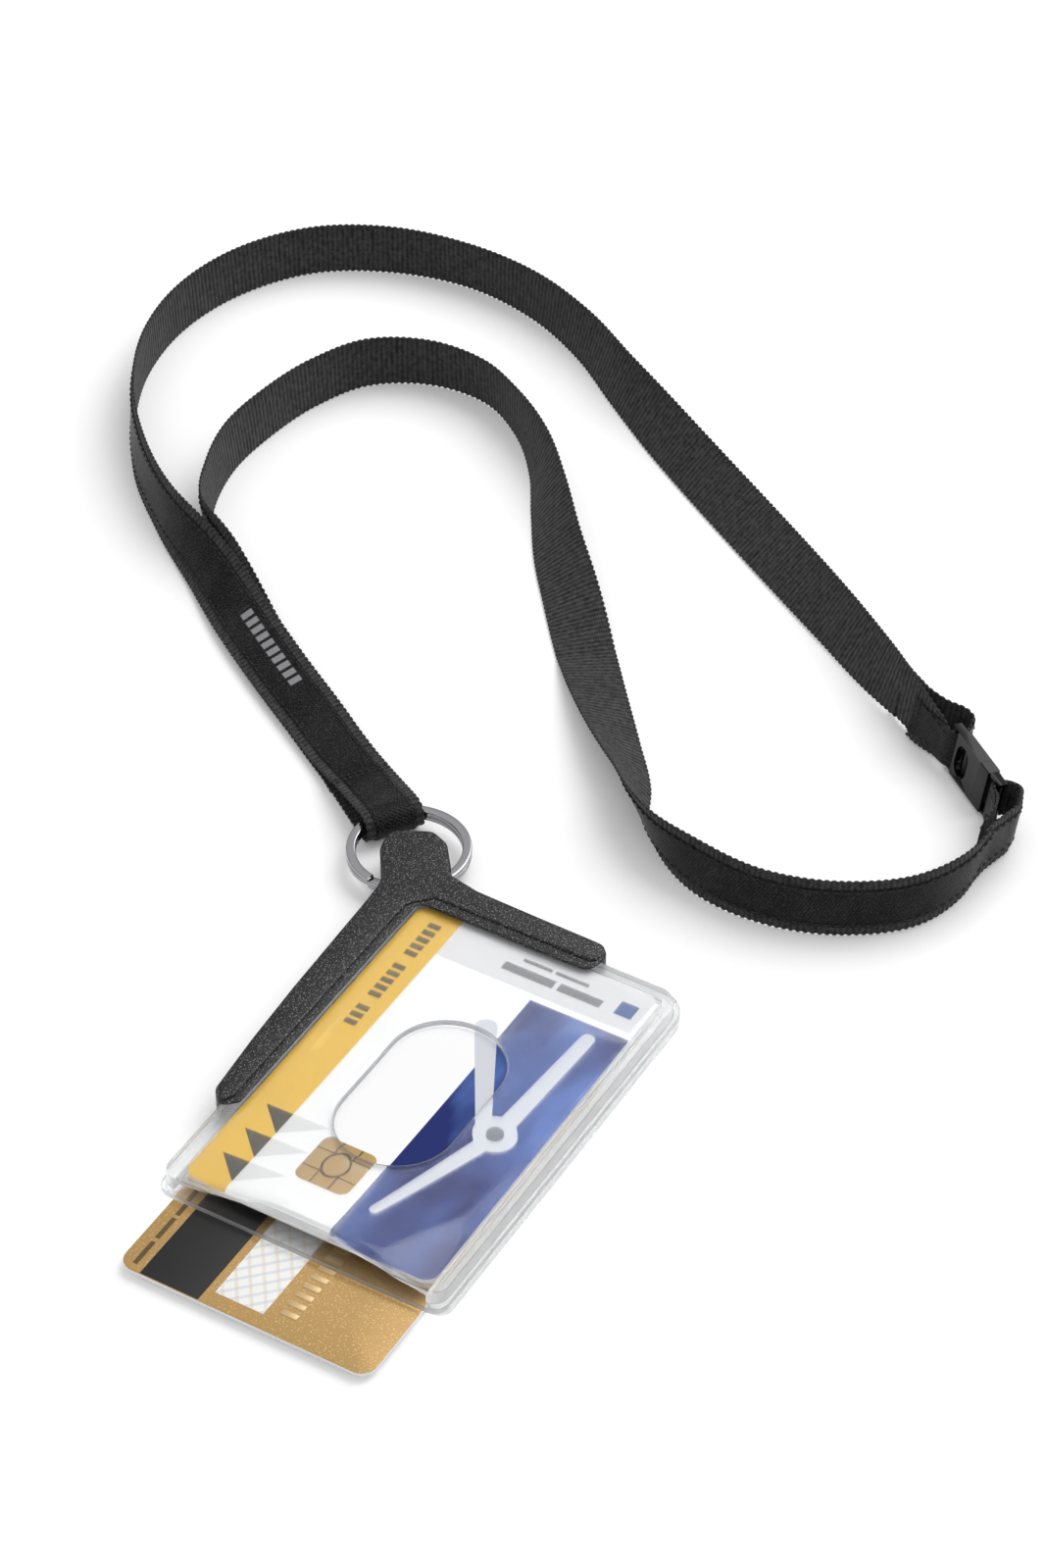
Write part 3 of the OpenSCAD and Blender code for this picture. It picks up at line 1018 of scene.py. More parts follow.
@dataclass
class Slab:
    """A plate with rounded edges, whose top and base heights may vary over it.

    Attributes:
        outline: Gives the outline for an outward growth in millimetres.
        base: The height of the base over x and y.
        top: The height of the top.
        edge: The radius of the rounded edges.
        pitch: The grid's step over both faces.
        round_base: Whether the lower edge is rounded too.
    """

    outline: Callable[[float], np.ndarray]
    base: Height
    top: Height
    edge: float = 0.25
    pitch: float = 3.0
    round_base: bool = True

    def mesh(self, name: str) -> bpy.types.Mesh:
        """Builds the plate as one closed mesh.

        Args:
            name: The mesh's name.

        Returns:
            The mesh.
        """
        steps = [0.0, 0.3, 0.6, 0.85, 1.0]
        loops: list[np.ndarray] = []
        for share in steps:
            angle = share * math.pi / 2
            grow, drop = self.edge * (math.sin(angle) - 1), self.edge * (1 - math.cos(angle))
            flat = self.outline(grow)
            loops.append(np.column_stack([flat, self.top(flat[:, 0], flat[:, 1]) - drop]))
        for share in reversed(steps):
            angle = share * math.pi / 2
            grow, rise = self.edge * (math.sin(angle) - 1), self.edge * (1 - math.cos(angle))
            if not self.round_base:
                grow, rise = 0.0, 0.0
            flat = self.outline(grow)
            loops.append(np.column_stack([flat, self.base(flat[:, 0], flat[:, 1]) + rise]))
            if not self.round_base:
                break
        count = len(loops[0])
        points = [np.vstack(loops)]
        faces = []
        for i in range(len(loops) - 1):
            for j in range(count):
                k = (j + 1) % count
                faces.append([i * count + j, (i + 1) * count + j, (i + 1) * count + k,
                              i * count + k])
        start = len(points[0])
        for loop, height, flip in ((loops[0], self.top, False), (loops[-1], self.base, True)):
            flat, triangles = filled(loop[:, :2], self.pitch)
            points.append(np.column_stack([flat, height(flat[:, 0], flat[:, 1])]))
            faces += [[start + v for v in (t[::-1] if flip else t)] for t in triangles]
            start += len(flat)
        return outward_normals(mesh_from(name, np.vstack(points) + CASE_SHIFT, faces))


def level(height: float) -> Height:
    """A height that is the same everywhere."""
    return lambda x, y: np.full(np.shape(x), float(height))


# ---- The strap ---------------------------------------------------------------------------------

# Each row is a strap's place in metres, its lean in degrees and the height of its lower edge.
# Most rows come from a fit of the strap's course, rounded. They weren't chosen by hand.
ROUTE_A = (
    (0.0696, 0.0504, -89, 0.0032), (0.072, 0.054, -88, 0.0023), (0.0748, 0.0588, -84, 0.0017),
    (0.08, 0.0674, -80, 0.0017), (0.0888, 0.0824, -74, 0.0017), (0.0984, 0.0976, -66, 0.0016),
    (0.1088, 0.1134, -45, 0.0009), (0.1194, 0.1318, -17, 0.0004), (0.1335, 0.1486, -10, 0.0004),
    (0.149, 0.1605, -2, 0.0004), (0.1667, 0.1689, 1, 0.0004), (0.186, 0.1718, 3, 0.0004),
    (0.2046, 0.1682, 4, 0.0004), (0.221, 0.1577, 2, 0.0004), (0.2304, 0.142, 1, 0.0004),
    (0.234, 0.1234, -2, 0.0004), (0.2315, 0.104, 5, 0.0004), (0.2237, 0.0858, 14, 0.0004),
    (0.213, 0.0694, 25, 0.0004), (0.203, 0.0532, 40, 0.0004), (0.193, 0.0367, 48, 0.0004),
    (0.183, 0.0202, 51, 0.0004), (0.1726, 0.004, 46, 0.0005), (0.162, -0.012, 37, 0.0006),
    (0.1512, -0.0276, 25, 0.0008), (0.1457, -0.0358, 13, 0.001),
)
ROUTE_B = (
    (0.0696, 0.0504, -89, 0.00045), (0.0722, 0.054, -88, 0.0004), (0.075, 0.0586, -86, 0.0004),
    (0.0804, 0.0672, -84, 0.0004), (0.0896, 0.0822, -80, 0.0004), (0.0994, 0.097, -72, 0.0004),
    (0.11, 0.1106, -38, 0.0004), (0.1216, 0.1228, 6, 0.0004), (0.1324, 0.1285, 6, 0.0004),
    (0.146, 0.1322, 7, 0.0004), (0.1606, 0.132, 6, 0.0004), (0.1762, 0.129, 4, 0.0004),
    (0.1885, 0.1229, 2, 0.0004), (0.196, 0.11, -2, 0.0004), (0.196, 0.0957, -4, 0.0004),
    (0.1895, 0.0834, 2, 0.0004), (0.1794, 0.0718, 18, 0.0004), (0.1675, 0.0623, 36, 0.0004),
    (0.155, 0.0528, 52, 0.0004), (0.1432, 0.0425, 69, 0.0004), (0.131, 0.0321, 88, 0.0004),
    (0.1186, 0.0217, 104, 0.0004), (0.1067, 0.0111, 120, 0.0004), (0.096, 0.0012, 137, 0.0004),
    (0.0876, -0.005, 157, 0.0004), (0.0812, -0.013, 170, 0.0004),
    (0.0768, -0.0244, 187, 0.0004), (0.0755, -0.0393, 188, 0.0004),
    (0.0807, -0.0557, 188, 0.0004), (0.0912, -0.0679, 184, 0.0004),
    (0.102, -0.072, 176, 0.0004), (0.1101, -0.0724, 171, 0.0005),
)


def smooth_line(rows: np.ndarray, step: float) -> np.ndarray:
    """Runs a smooth curve through rows of numbers, the first ones being a place.

    Args:
        rows: The rows, with a place in the first two or three columns.
        step: The distance between the curve's points, in the rows' unit.

    Returns:
        Rows at even steps along the curve.
    """
    rows = np.asarray(rows, dtype=float)
    at = np.concatenate([[0], np.cumsum(np.linalg.norm(np.diff(rows[:, :2], axis=0), axis=1))])
    slope = np.gradient(rows, at, axis=0)
    fine = np.linspace(0, at[-1], max(2, int(at[-1] / step) + 1))
    i = np.clip(np.searchsorted(at, fine, side="right") - 1, 0, len(at) - 2)
    h = (at[i + 1] - at[i])[:, None]
    t = (fine - at[i])[:, None] / h
    return (
        (2 * t**3 - 3 * t**2 + 1) * rows[i]
        + (t**3 - 2 * t**2 + t) * h * slope[i]
        + (3 * t**2 - 2 * t**3) * rows[i + 1]
        + (t**3 - t**2) * h * slope[i + 1]
    )


@dataclass
class Ribbon:
    """A run of strap: its middle line and the directions across it and out of its satin face.

    Attributes:
        middle: Points along its middle in millimetres.
        across: Unit vectors across it.
        outward: Unit vectors out of its satin face.
        low: How far it reaches against the across vector.
        high: How far it reaches along it.
    """

    middle: np.ndarray
    across: np.ndarray
    outward: np.ndarray
    low: np.ndarray
    high: np.ndarray

    @classmethod
    def standing(cls, route: Sequence[Sequence[float]], width: float, step: float) -> "Ribbon":
        """Lays a strap on the surface by the rows of a route.

        Args:
            route: Rows of place in metres, lean in degrees and height of the lower edge.
            width: The strap's width in millimetres.
            step: The distance between its points.

        Returns:
            The run of strap.
        """
        rows = np.array(route) * [1 / MM, 1 / MM, 1.0, 1 / MM]
        fine = smooth_line(rows, step)
        heading = np.gradient(fine[:, :2], axis=0)
        heading /= np.linalg.norm(heading, axis=1)[:, None]
        lean = np.radians(fine[:, 2])
        s, c = np.sin(lean), np.cos(lean)
        hx, hy = heading.T
        foot = np.maximum(fine[:, 3], 0.3) - 0.3 * c * c
        middle = np.column_stack([fine[:, 0], fine[:, 1], foot + width / 2 * np.abs(c)])
        across = np.column_stack([-hy * s, hx * s, c])
        outward = np.column_stack([-hy * c, hx * c, -s])
        half = np.full(len(fine), width / 2)
        return cls(middle, across, outward, half, half)

    @property
    def distance(self) -> np.ndarray:
        """How far along the strap each point is, in millimetres."""
        return np.concatenate(
            [[0], np.cumsum(np.linalg.norm(np.diff(self.middle, axis=0), axis=1))]
        )

    def line(self, side: float, depth: float) -> np.ndarray:
        """A line that follows the strap.

        Args:
            side: Its place across, from -1 at one edge to 1 at the other.
            depth: Its height over the strap's middle in millimetres.

        Returns:
            The line's points in millimetres.
        """
        reach = side * (self.high if side > 0 else self.low)
        return self.middle + self.across * reach[:, None] + self.outward * depth

    def mesh(self, name: str, depth: float, thick: float, inset: float = 0.0,
             limit: float | None = None) -> bpy.types.Mesh:
        """Builds a woven layer with rounded edges and its own map.

        Args:
            name: The mesh's name.
            depth: The height of the layer's middle over the strap's middle.
            thick: The layer's thickness.
            inset: How far its edges stay inside the strap's.
            limit: The half width of a narrower layer.

        Returns:
            The mesh.
        """
        columns = 7
        low = self.low - inset if limit is None else np.minimum(self.low - inset, limit)
        high = self.high - inset if limit is None else np.minimum(self.high - inset, limit)
        places = np.linspace(-1, 1, columns)
        ring_side = list(places) + list(places[::-1])
        ring_face = [-1.0] * columns + [1.0] * columns
        edge = thick / 2
        count = len(self.middle)
        points, maps = [], []
        along = self.distance
        for side, face in zip(ring_side, ring_face):
            reach = np.where(side < 0, low, high) * side
            lift = face * thick / 2 * (0.55 if abs(side) == 1 else 1.0)
            trimmed = reach - math.copysign(edge * 0.1, side) * (abs(side) == 1)
            points.append(
                self.middle + self.across * trimmed[:, None] + self.outward * (depth + lift)
            )
            maps.append(np.column_stack([along, trimmed]))
        size = len(ring_side)
        verts = np.stack(points, axis=1).reshape(-1, 3)
        flat = np.stack(maps, axis=1).reshape(-1, 2)
        faces = []
        for i in range(count - 1):
            for k in range(size):
                n = (k + 1) % size
                faces.append((i * size + k, i * size + n, (i + 1) * size + n,
                              (i + 1) * size + k))
        faces.append(tuple(range(size))[::-1])
        faces.append(tuple((count - 1) * size + k for k in range(size)))
        mesh = mesh_from(name, verts, faces)
        layer = mesh.uv_layers.new(name="strap")
        index = np.zeros(len(mesh.loops), dtype=int)
        mesh.loops.foreach_get("vertex_index", index)
        layer.data.foreach_set("uv", flat[index].astype(np.float32).ravel())
        work = bmesh.new()
        work.from_mesh(mesh)
        bmesh.ops.recalc_face_normals(work, faces=work.faces)
        work.to_mesh(mesh)
        work.free()
        return mesh


@dataclass
class BeadRow:
    """A Geometry Nodes tree that sets small rounded beads along lines.

    It makes stitches, which are long and thin, and the looped yarns at a strap's edges.

    Attributes:
        spacing: The distance between beads in millimetres.
        length: A bead's length.
        thick: Its thickness.
    """

    spacing: float
    length: float
    thick: float

    def tree(self, finish: Finish) -> bpy.types.NodeTree:
        """Builds the tree, with its sizes as named inputs.

        Args:
            finish: The beads' finish.

        Returns:
            The tree.
        """
        tree = bpy.data.node_groups.new("bead_row", "GeometryNodeTree")
        face = tree.interface
        face.new_socket("Geometry", in_out="INPUT", socket_type="NodeSocketGeometry")
        for name in ("Spacing", "Length", "Thickness"):
            face.new_socket(name, in_out="INPUT", socket_type="NodeSocketFloat")
        face.new_socket("Geometry", in_out="OUTPUT", socket_type="NodeSocketGeometry")
        add = tree.nodes.new
        source, sink = add("NodeGroupInput"), add("NodeGroupOutput")
        curve, spread = add("GeometryNodeMeshToCurve"), add("GeometryNodeResampleCurve")
        spread.mode = "LENGTH"
        bead, scatter = add("GeometryNodeMeshUVSphere"), add("GeometryNodeInstanceOnPoints")
        bead.inputs["Segments"].default_value = 6
        bead.inputs["Rings"].default_value = 4
        bead.inputs["Radius"].default_value = 0.5
        tangent, turn = add("GeometryNodeInputTangent"), add("FunctionNodeAlignRotationToVector")
        turn.axis = "X"
        size = add("ShaderNodeCombineXYZ")
        real, dress = add("GeometryNodeRealizeInstances"), add("GeometryNodeSetMaterial")
        dress.inputs["Material"].default_value = finish.material()
        link = tree.links.new
        link(source.outputs["Geometry"], curve.inputs[0])
        link(curve.outputs[0], spread.inputs["Curve"])
        link(source.outputs["Spacing"], spread.inputs["Length"])
        link(spread.outputs[0], scatter.inputs["Points"])
        link(bead.outputs["Mesh"], scatter.inputs["Instance"])
        link(tangent.outputs[0], turn.inputs["Vector"])
        link(turn.outputs[0], scatter.inputs["Rotation"])
        link(source.outputs["Length"], size.inputs["X"])
        link(source.outputs["Thickness"], size.inputs["Y"])
        link(source.outputs["Thickness"], size.inputs["Z"])
        link(size.outputs[0], scatter.inputs["Scale"])
        link(scatter.outputs[0], real.inputs[0])
        link(real.outputs[0], dress.inputs["Geometry"])
        link(dress.outputs[0], sink.inputs[0])
        return tree

    def build(self, name: str, lines: Sequence[np.ndarray],
              finish: Finish) -> bpy.types.Object:
        """Makes one piece with beads along every line.

        Args:
            name: The piece's name.
            lines: Lines of points in millimetres.
            finish: The beads' finish.

        Returns:
            The object.
        """
        points = np.vstack(lines) * MM
        edges, start = [], 0
        for line in lines:
            edges += [(start + i, start + i + 1) for i in range(len(line) - 1)]
            start += len(line)
        mesh = bpy.data.meshes.new(name)
        mesh.from_pydata(points.tolist(), edges, [])
        guide = bpy.data.objects.new(f"{name}_guide", mesh)
        bpy.context.scene.collection.objects.link(guide)
        step = guide.modifiers.new("beads", "NODES")
        step.node_group = self.tree(finish)
        sizes = {"Spacing": self.spacing, "Length": self.length, "Thickness": self.thick}
        for item in step.node_group.interface.items_tree:
            if item.in_out == "INPUT" and item.name in sizes:
                step[item.identifier] = sizes[item.name] * MM
        result = evaluated(guide, name)
        return add_object(name, result, finish, 60.0)


@dataclass
class StrapLook:
    """How every run of strap is dressed: web, satin layer, stitches and edge yarns."""

    width: float = 13.0
    web: float = 0.6
    satin_half: float = 4.4
    satin: float = 0.25
    step: float = 0.8
    stitch: BeadRow = field(default_factory=lambda: BeadRow(2.1, 1.5, 0.3))
    picot: BeadRow = field(default_factory=lambda: BeadRow(1.45, 1.3, 0.68))

    def dress(self, name: str, run: Ribbon, web_node: str, satin_node: str | None,
              satin: Finish) -> list[bpy.types.Object]:
        """Builds a run's layers and sewn details.

        Args:
            name: The run's name.
            run: Where it lies.
            web_node: The CAD node that its web stands for.
            satin_node: The CAD node that its satin layer stands for.
            satin: The satin layer's finish.

        Returns:
            The web first, and then every other piece.
        """
        web = add_object(name + "_weave", run.mesh(name, 0.0, self.web, 0.25), WEAVE)
        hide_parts(web_node)
        depth = self.web / 2 + 0.02 + self.satin / 2
        layer = run.mesh(name, depth, self.satin, 0.0, self.satin_half)
        cloth = add_object(name + "_satin", layer, satin)
        if satin_node:
            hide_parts(satin_node)
        share = (self.satin_half - 0.5) / (self.width / 2)
        top = self.web / 2 + self.satin + 0.05
        seams = [run.line(-share, top), run.line(share, top)]
        stitches = self.stitch.build(name + "_stitches", seams, THREAD)
        rim_inset = 0.3
        rims = [run.line(side * (1 - rim_inset / (self.width / 2)), 0.0) for side in (-1, 1)]
        yarns = self.picot.build(name + "_edge_yarns", rims, EDGE_YARN)
        return [web, cloth, stitches, yarns]


# ---- Sub-assemblies ----------------------------------------------------------------------------


FaceTest = Callable[[np.ndarray, Vector], bool]


def dress_rim(piece: bpy.types.Object, finish: Finish, test: FaceTest) -> None:
    """Gives some of a piece's faces another finish.

    Args:
        piece: The piece.
        finish: The finish of those faces.
        test: Says yes or no for a face's corners in millimetres and its normal.
    """
    mesh = piece.data
    corners = np.array([v.co for v in mesh.vertices]) / MM - CASE_SHIFT
    mesh.materials.append(finish.material())
    index = len(mesh.materials) - 1
    for face in mesh.polygons:
        if test(corners[list(face.vertices)], face.normal):
            face.material_index = index


@dataclass
class Case:
    """The clear case: a back cover, a divider and a bowed front cover with a thumb slot."""

    card_length: float = 85.6
    card_width: float = 54.0
    rise: float = 1.9
    height: float = 6.7
    plate: float = 1.1
    divider_low: float = 2.0
    divider_high: float = 3.4
    mouth: float = -45.0
    cover_end: float = 45.2
    channel_end: float = 43.1
    channel_half: float = 27.3
    slot_middle: Point = (-3.0, -0.6)
    slot_length: float = 41.0
    slot_width: float = 23.5
    slot_rim: float = 0.35
    cover_width: float = 60.8
    plate_width: float = 61.8
    plate_end: float = 47.5

    def bow(self, x: np.ndarray, y: np.ndarray) -> np.ndarray:
        """How far the front plate and its card stand up over their flat height."""
        run = np.maximum(0, self.card_length / 2 - x) / self.card_length
        return self.rise * run**3.5 * np.maximum(0, 1 - (2 * y / self.card_width) ** 2)

    def over(self, height: float) -> Height:
        """A height that follows the bow of the front plate."""
        return lambda x, y: height + self.bow(x, y)

    def slot(self, grow: float) -> np.ndarray:
        """The thumb slot's outline, grown by a distance."""
        radius, half = self.slot_width / 2, (self.slot_length - self.slot_width) / 2
        angles = np.radians(np.linspace(-90, 90, 25))
        arc = np.column_stack([np.cos(angles), np.sin(angles)]) * (radius + grow)
        right = arc + (half, 0)
        return np.vstack([right, -right]) + self.slot_middle

    def slot_cutter(self) -> bpy.types.Mesh:
        """The solid that cuts the slot and rounds its upper edge.

        Returns:
            The solid's mesh.
        """
        top = self.over(self.height)
        count = len(self.slot(0))
        clear_of_cover = 14.0
        loops = [np.column_stack([self.slot(0), np.full(count, self.divider_high)])]
        for share in (0.0, 0.35, 0.7, 1.0):
            angle = share * math.pi / 2
            flat = self.slot(self.slot_rim * (1 - math.cos(angle)))
            drop = self.slot_rim * (1 - math.sin(angle)) - 0.02 * (share == 1.0)
            loops.append(np.column_stack([flat, top(flat[:, 0], flat[:, 1]) - drop]))
        loops.append(np.column_stack([self.slot(self.slot_rim), np.full(count, clear_of_cover)]))
        faces = [
            [i * count + j, (i + 1) * count + j, (i + 1) * count + (j + 1) % count,
             i * count + (j + 1) % count]
            for i in range(len(loops) - 1)
            for j in range(count)
        ]
        faces += [list(range(count)), [(len(loops) - 1) * count + j for j in range(count)]]
        return outward_normals(mesh_from("slot_cutter", np.vstack(loops) + CASE_SHIFT, faces))

    def front_cover(self) -> bpy.types.Object:
        """The bowed front plate with its side rails and end wall.

        Returns:
            The piece.
        """
        body = Slab(
            lambda g: rounded_box(self.mouth, self.cover_end, self.cover_width, 3, 5, g),
            level(self.divider_high + 0.02), self.over(self.height), 0.35, 2.5,
        ).mesh("front_cover_body")
        channel = Slab(
            lambda g: rounded_box(self.mouth - 6, self.channel_end, 2 * self.channel_half,
                                  0.6, 1.2, g),
            level(self.divider_high - 2), self.over(self.height - self.plate), 0.3, 2.5,
        ).mesh("channel")
        mesh = cut(body, [channel, self.slot_cutter()], "DIFFERENCE", "front_cover_clear")
        return add_object("front_cover_clear", mesh, CLEAR, 30.0)

    def divider(self) -> bpy.types.Object:
        """The plate between the two cards."""
        plate = Slab(
            lambda g: rounded_box(self.mouth - 1, self.plate_end, self.plate_width, 3, 6, g),
            level(self.divider_low + 0.01), level(self.divider_high), 0.3, 12.0,
        ).mesh("divider_clear")
        return add_object("divider_clear", plate, CLEAR)

    def back_cover(self) -> bpy.types.Object:
        """The tray that holds the rear card.

        Returns:
            The piece.
        """
        tray = Slab(
            lambda g: rounded_box(self.mouth + 0.5, self.plate_end, self.plate_width, 3, 6, g),
            level(0.0), level(self.divider_low - 0.01), 0.3, 12.0,
        ).mesh("tray")
        pocket = Slab(
            lambda g: rounded_box(-60, self.channel_end, 2 * self.channel_half, 0.6, 1.2, g),
            level(0.9), level(6.0), 0.1, 12.0,
        ).mesh("pocket")
        mesh = cut(tray, [pocket], "DIFFERENCE", "back_cover_clear")
        return add_object("back_cover_clear", mesh, CLEAR)

    def build(self) -> list[bpy.types.Object]:
        """Builds the case's three clear parts.

        Returns:
            The front cover, the divider and the back cover.
        """
        parts = [self.front_cover(), self.divider(), self.back_cover()]
        for part, node in zip(parts, ("front_cover", "divider", "back_cover")):
            # Steep faces get the painted edge shading.
            dress_rim(part, CLEAR_EDGE_PAINTED_SHADING, lambda _, normal: abs(normal.z) < 0.6)
            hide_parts(node)
            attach(part, Body.HOLDER.value)
        # The slot's wall and rim get the painted grey shade line.
        dress_rim(parts[0], SLOT_PAINTED_SHADE, self.beside_slot)
        return parts

    def beside_slot(self, corners: np.ndarray, _normal: Vector) -> bool:
        """Tests whether a face is on the slot's wall or its rounded rim."""
        near, lowest = 0.4, 5.4
        across = corners[:, :2] - self.slot_middle
        past = np.maximum(0.0, np.abs(across[:, 0]) - (self.slot_length - self.slot_width) / 2)
        away = np.hypot(past, across[:, 1]) - self.slot_width / 2
        return bool(np.all(np.abs(away) < near) and corners[:, 2].min() > lowest)


@dataclass
class Yoke:
    """The charcoal corner piece, with an arm on two edges of the case and a stem to the ring."""

    top: float = 7.5
    foot: float = 0.1
    step: float = 0.45
    ring_middle: Point = (56.4, 38.8)
    stem_angle: float = 32.0
    hole_back: float = 10.7
    hole_radius: float = 2.4

    outline: tuple[tuple[float, float, float], ...] = (
        (-22.6, 27.1, 1.2), (36.9, 27.1, 0.0), (41.3, 27.1, 4.0), (41.3, 22.5, 0.0),
        (41.3, -12.2, 3.6), (49.5, -12.2, 4.2), (49.8, 5.0, 6.0), (50.2, 18.5, 7.0),
        (51.6, 25.6, 3.0), (59.4, 31.6, 3.2), (61.0, 35.6, 3.2), (56.6, 43.6, 3.4),
        (51.4, 42.6, 5.0), (43.6, 37.2, 9.0), (36.5, 36.7, 6.0), (8.4, 35.7, 10.0),
        (-7.0, 34.8, 10.0), (-21.8, 33.5, 3.0), (-25.6, 30.0, 2.6),
    )
    raised: tuple[tuple[float, float, float], ...] = (
        (-22.2, 28.9, 1.2), (39.8, 28.9, 4.0), (43.8, 24.9, 0.0), (43.8, -11.6, 2.6),
        (49.2, -11.6, 3.6), (49.5, 5.0, 6.0), (49.9, 18.8, 7.0),
        (51.3, 25.8, 3.0), (59.1, 31.8, 3.0), (60.6, 35.6, 3.0), (56.5, 43.3, 3.2),
        (51.6, 42.3, 5.0), (43.7, 36.9, 9.0), (36.4, 36.4, 6.0), (8.4, 35.4, 10.0),
        (-7.0, 34.5, 10.0), (-21.4, 33.2, 2.8), (-24.8, 30.4, 1.6),
    )

    def solid(self, corners: Sequence[tuple[float, float, float]], low: float, high: float,
              edge: float, name: str) -> bpy.types.Mesh:
        """Raises an outline into a solid with rounded edges.

        Args:
            corners: Each corner's x, y and radius.
            low: The height of its base.
            high: The height of its top.
            edge: The radius of its edges.
            name: The mesh's name.

        Returns:
            The mesh.
        """
        flat = filleted(corners)
        middle = CASE_SHIFT[:2]
        count = len(flat)
        points = np.vstack([
            np.column_stack([flat + middle, np.full(count, low)]),
            np.column_stack([flat + middle, np.full(count, high)]),
        ])
        faces = [[i, (i + 1) % count, count + (i + 1) % count, count + i] for i in range(count)]
        faces += [list(range(count))[::-1], list(range(count, 2 * count))]
        return bevelled(outward_normals(mesh_from(name, points, faces)), edge, 4, 50.0)

    def clearances(self) -> list[bpy.types.Mesh]:
        """The solids that make room for the case.

        Returns:
            The room for the lower plates and the room for the front cover.
        """
        low = Slab(
            lambda g: rounded_box(-46, 47.52, 61.84, 3, 6, g),
            level(-1.0), level(3.41), 0.02, 40.0,
        ).mesh("case_low")
        high = Slab(
            lambda g: rounded_box(-45, 45.22, 60.84, 3, 5, g),
            level(1.0), level(6.8), 0.02, 40.0,
        ).mesh("case_high")
        return [low, high]

    def tunnel(self) -> bpy.types.Mesh:
        """The solids of the ring's hole through the stem, which is flared at both ends.

        Returns:
            One mesh with the three round solids in it.
        """
        bore = bmesh.new()
        place = (
            Matrix.Translation(Vector((*self.ring_middle, 3.8)) + Vector(CASE_SHIFT))
            @ Matrix.Rotation(math.radians(self.stem_angle), 4, "Z")
            @ Matrix.Translation((-self.hole_back, 0, 0))
            @ Matrix.Rotation(math.radians(90), 4, "X")
        )
        bmesh.ops.create_cone(
            bore, cap_ends=True, segments=40, radius1=self.hole_radius,
            radius2=self.hole_radius, depth=30, matrix=Matrix.Scale(MM, 4) @ place,
        )
        for side in (1, -1):
            flare = place @ Matrix.Rotation(0 if side > 0 else math.pi, 4, "X")
            bmesh.ops.create_cone(
                bore, cap_ends=True, segments=40, radius1=self.hole_radius,
                radius2=self.hole_radius + 1.6, depth=8,
                matrix=Matrix.Scale(MM, 4) @ flare @ Matrix.Translation((0, 0, 7)),
            )
        hole = bpy.data.meshes.new("ring_tunnel")
        bore.to_mesh(hole)
        bore.free()
        return hole

    def bored(self, mesh: bpy.types.Mesh, hole: bpy.types.Mesh) -> bpy.types.Mesh:
        """Cuts the ring's flared hole through the stem, one round solid at a time.

        Args:
            mesh: The yoke.
            hole: The round solids.

        Returns:
            The bored yoke.
        """
        work = bmesh.new()
        work.from_mesh(hole)
        islands, seen = [], set()
        for start in work.verts:
            if start in seen:
                continue
            group, queue = [], [start]
            while queue:
                vert = queue.pop()
                if vert in seen:
                    continue
                seen.add(vert)
                group.append(vert.index)
                queue += [e.other_vert(vert) for e in vert.link_edges]
            islands.append(set(group))
        work.free()
        tools = []
        for group in islands:
            copy = bmesh.new()
            copy.from_mesh(hole)
            copy.verts.ensure_lookup_table()
            gone = [v for v in copy.verts if v.index not in group]
            bmesh.ops.delete(copy, geom=gone, context="VERTS")
            bmesh.ops.recalc_face_normals(copy, faces=copy.faces)
            tool = bpy.data.meshes.new("ring_tunnel_part")
            copy.to_mesh(tool)
            copy.free()
            tools.append(tool)
        return cut(mesh, tools, "DIFFERENCE", "yoke_moulding")

    def build(self) -> bpy.types.Object:
        """Builds the yoke as one solid, cut to the case and bored for the ring.

        Returns:
            The piece.
        """
        base = self.solid(self.outline, self.foot, self.top - self.step, 0.7, "yoke_base")
        cap = self.solid(self.raised, self.top - 2.0, self.top, 0.55, "yoke_cap")
        mesh = cut(base, [cap], "UNION", "yoke_whole")
        mesh = cut(mesh, self.clearances(), "DIFFERENCE", "yoke_cut")
        mesh = self.bored(mesh, self.tunnel())
        piece = add_object("yoke_moulding", mesh, YOKE_PLASTIC, 32.0)
        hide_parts("yoke")
        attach(piece, Body.HOLDER.value)
        return piece


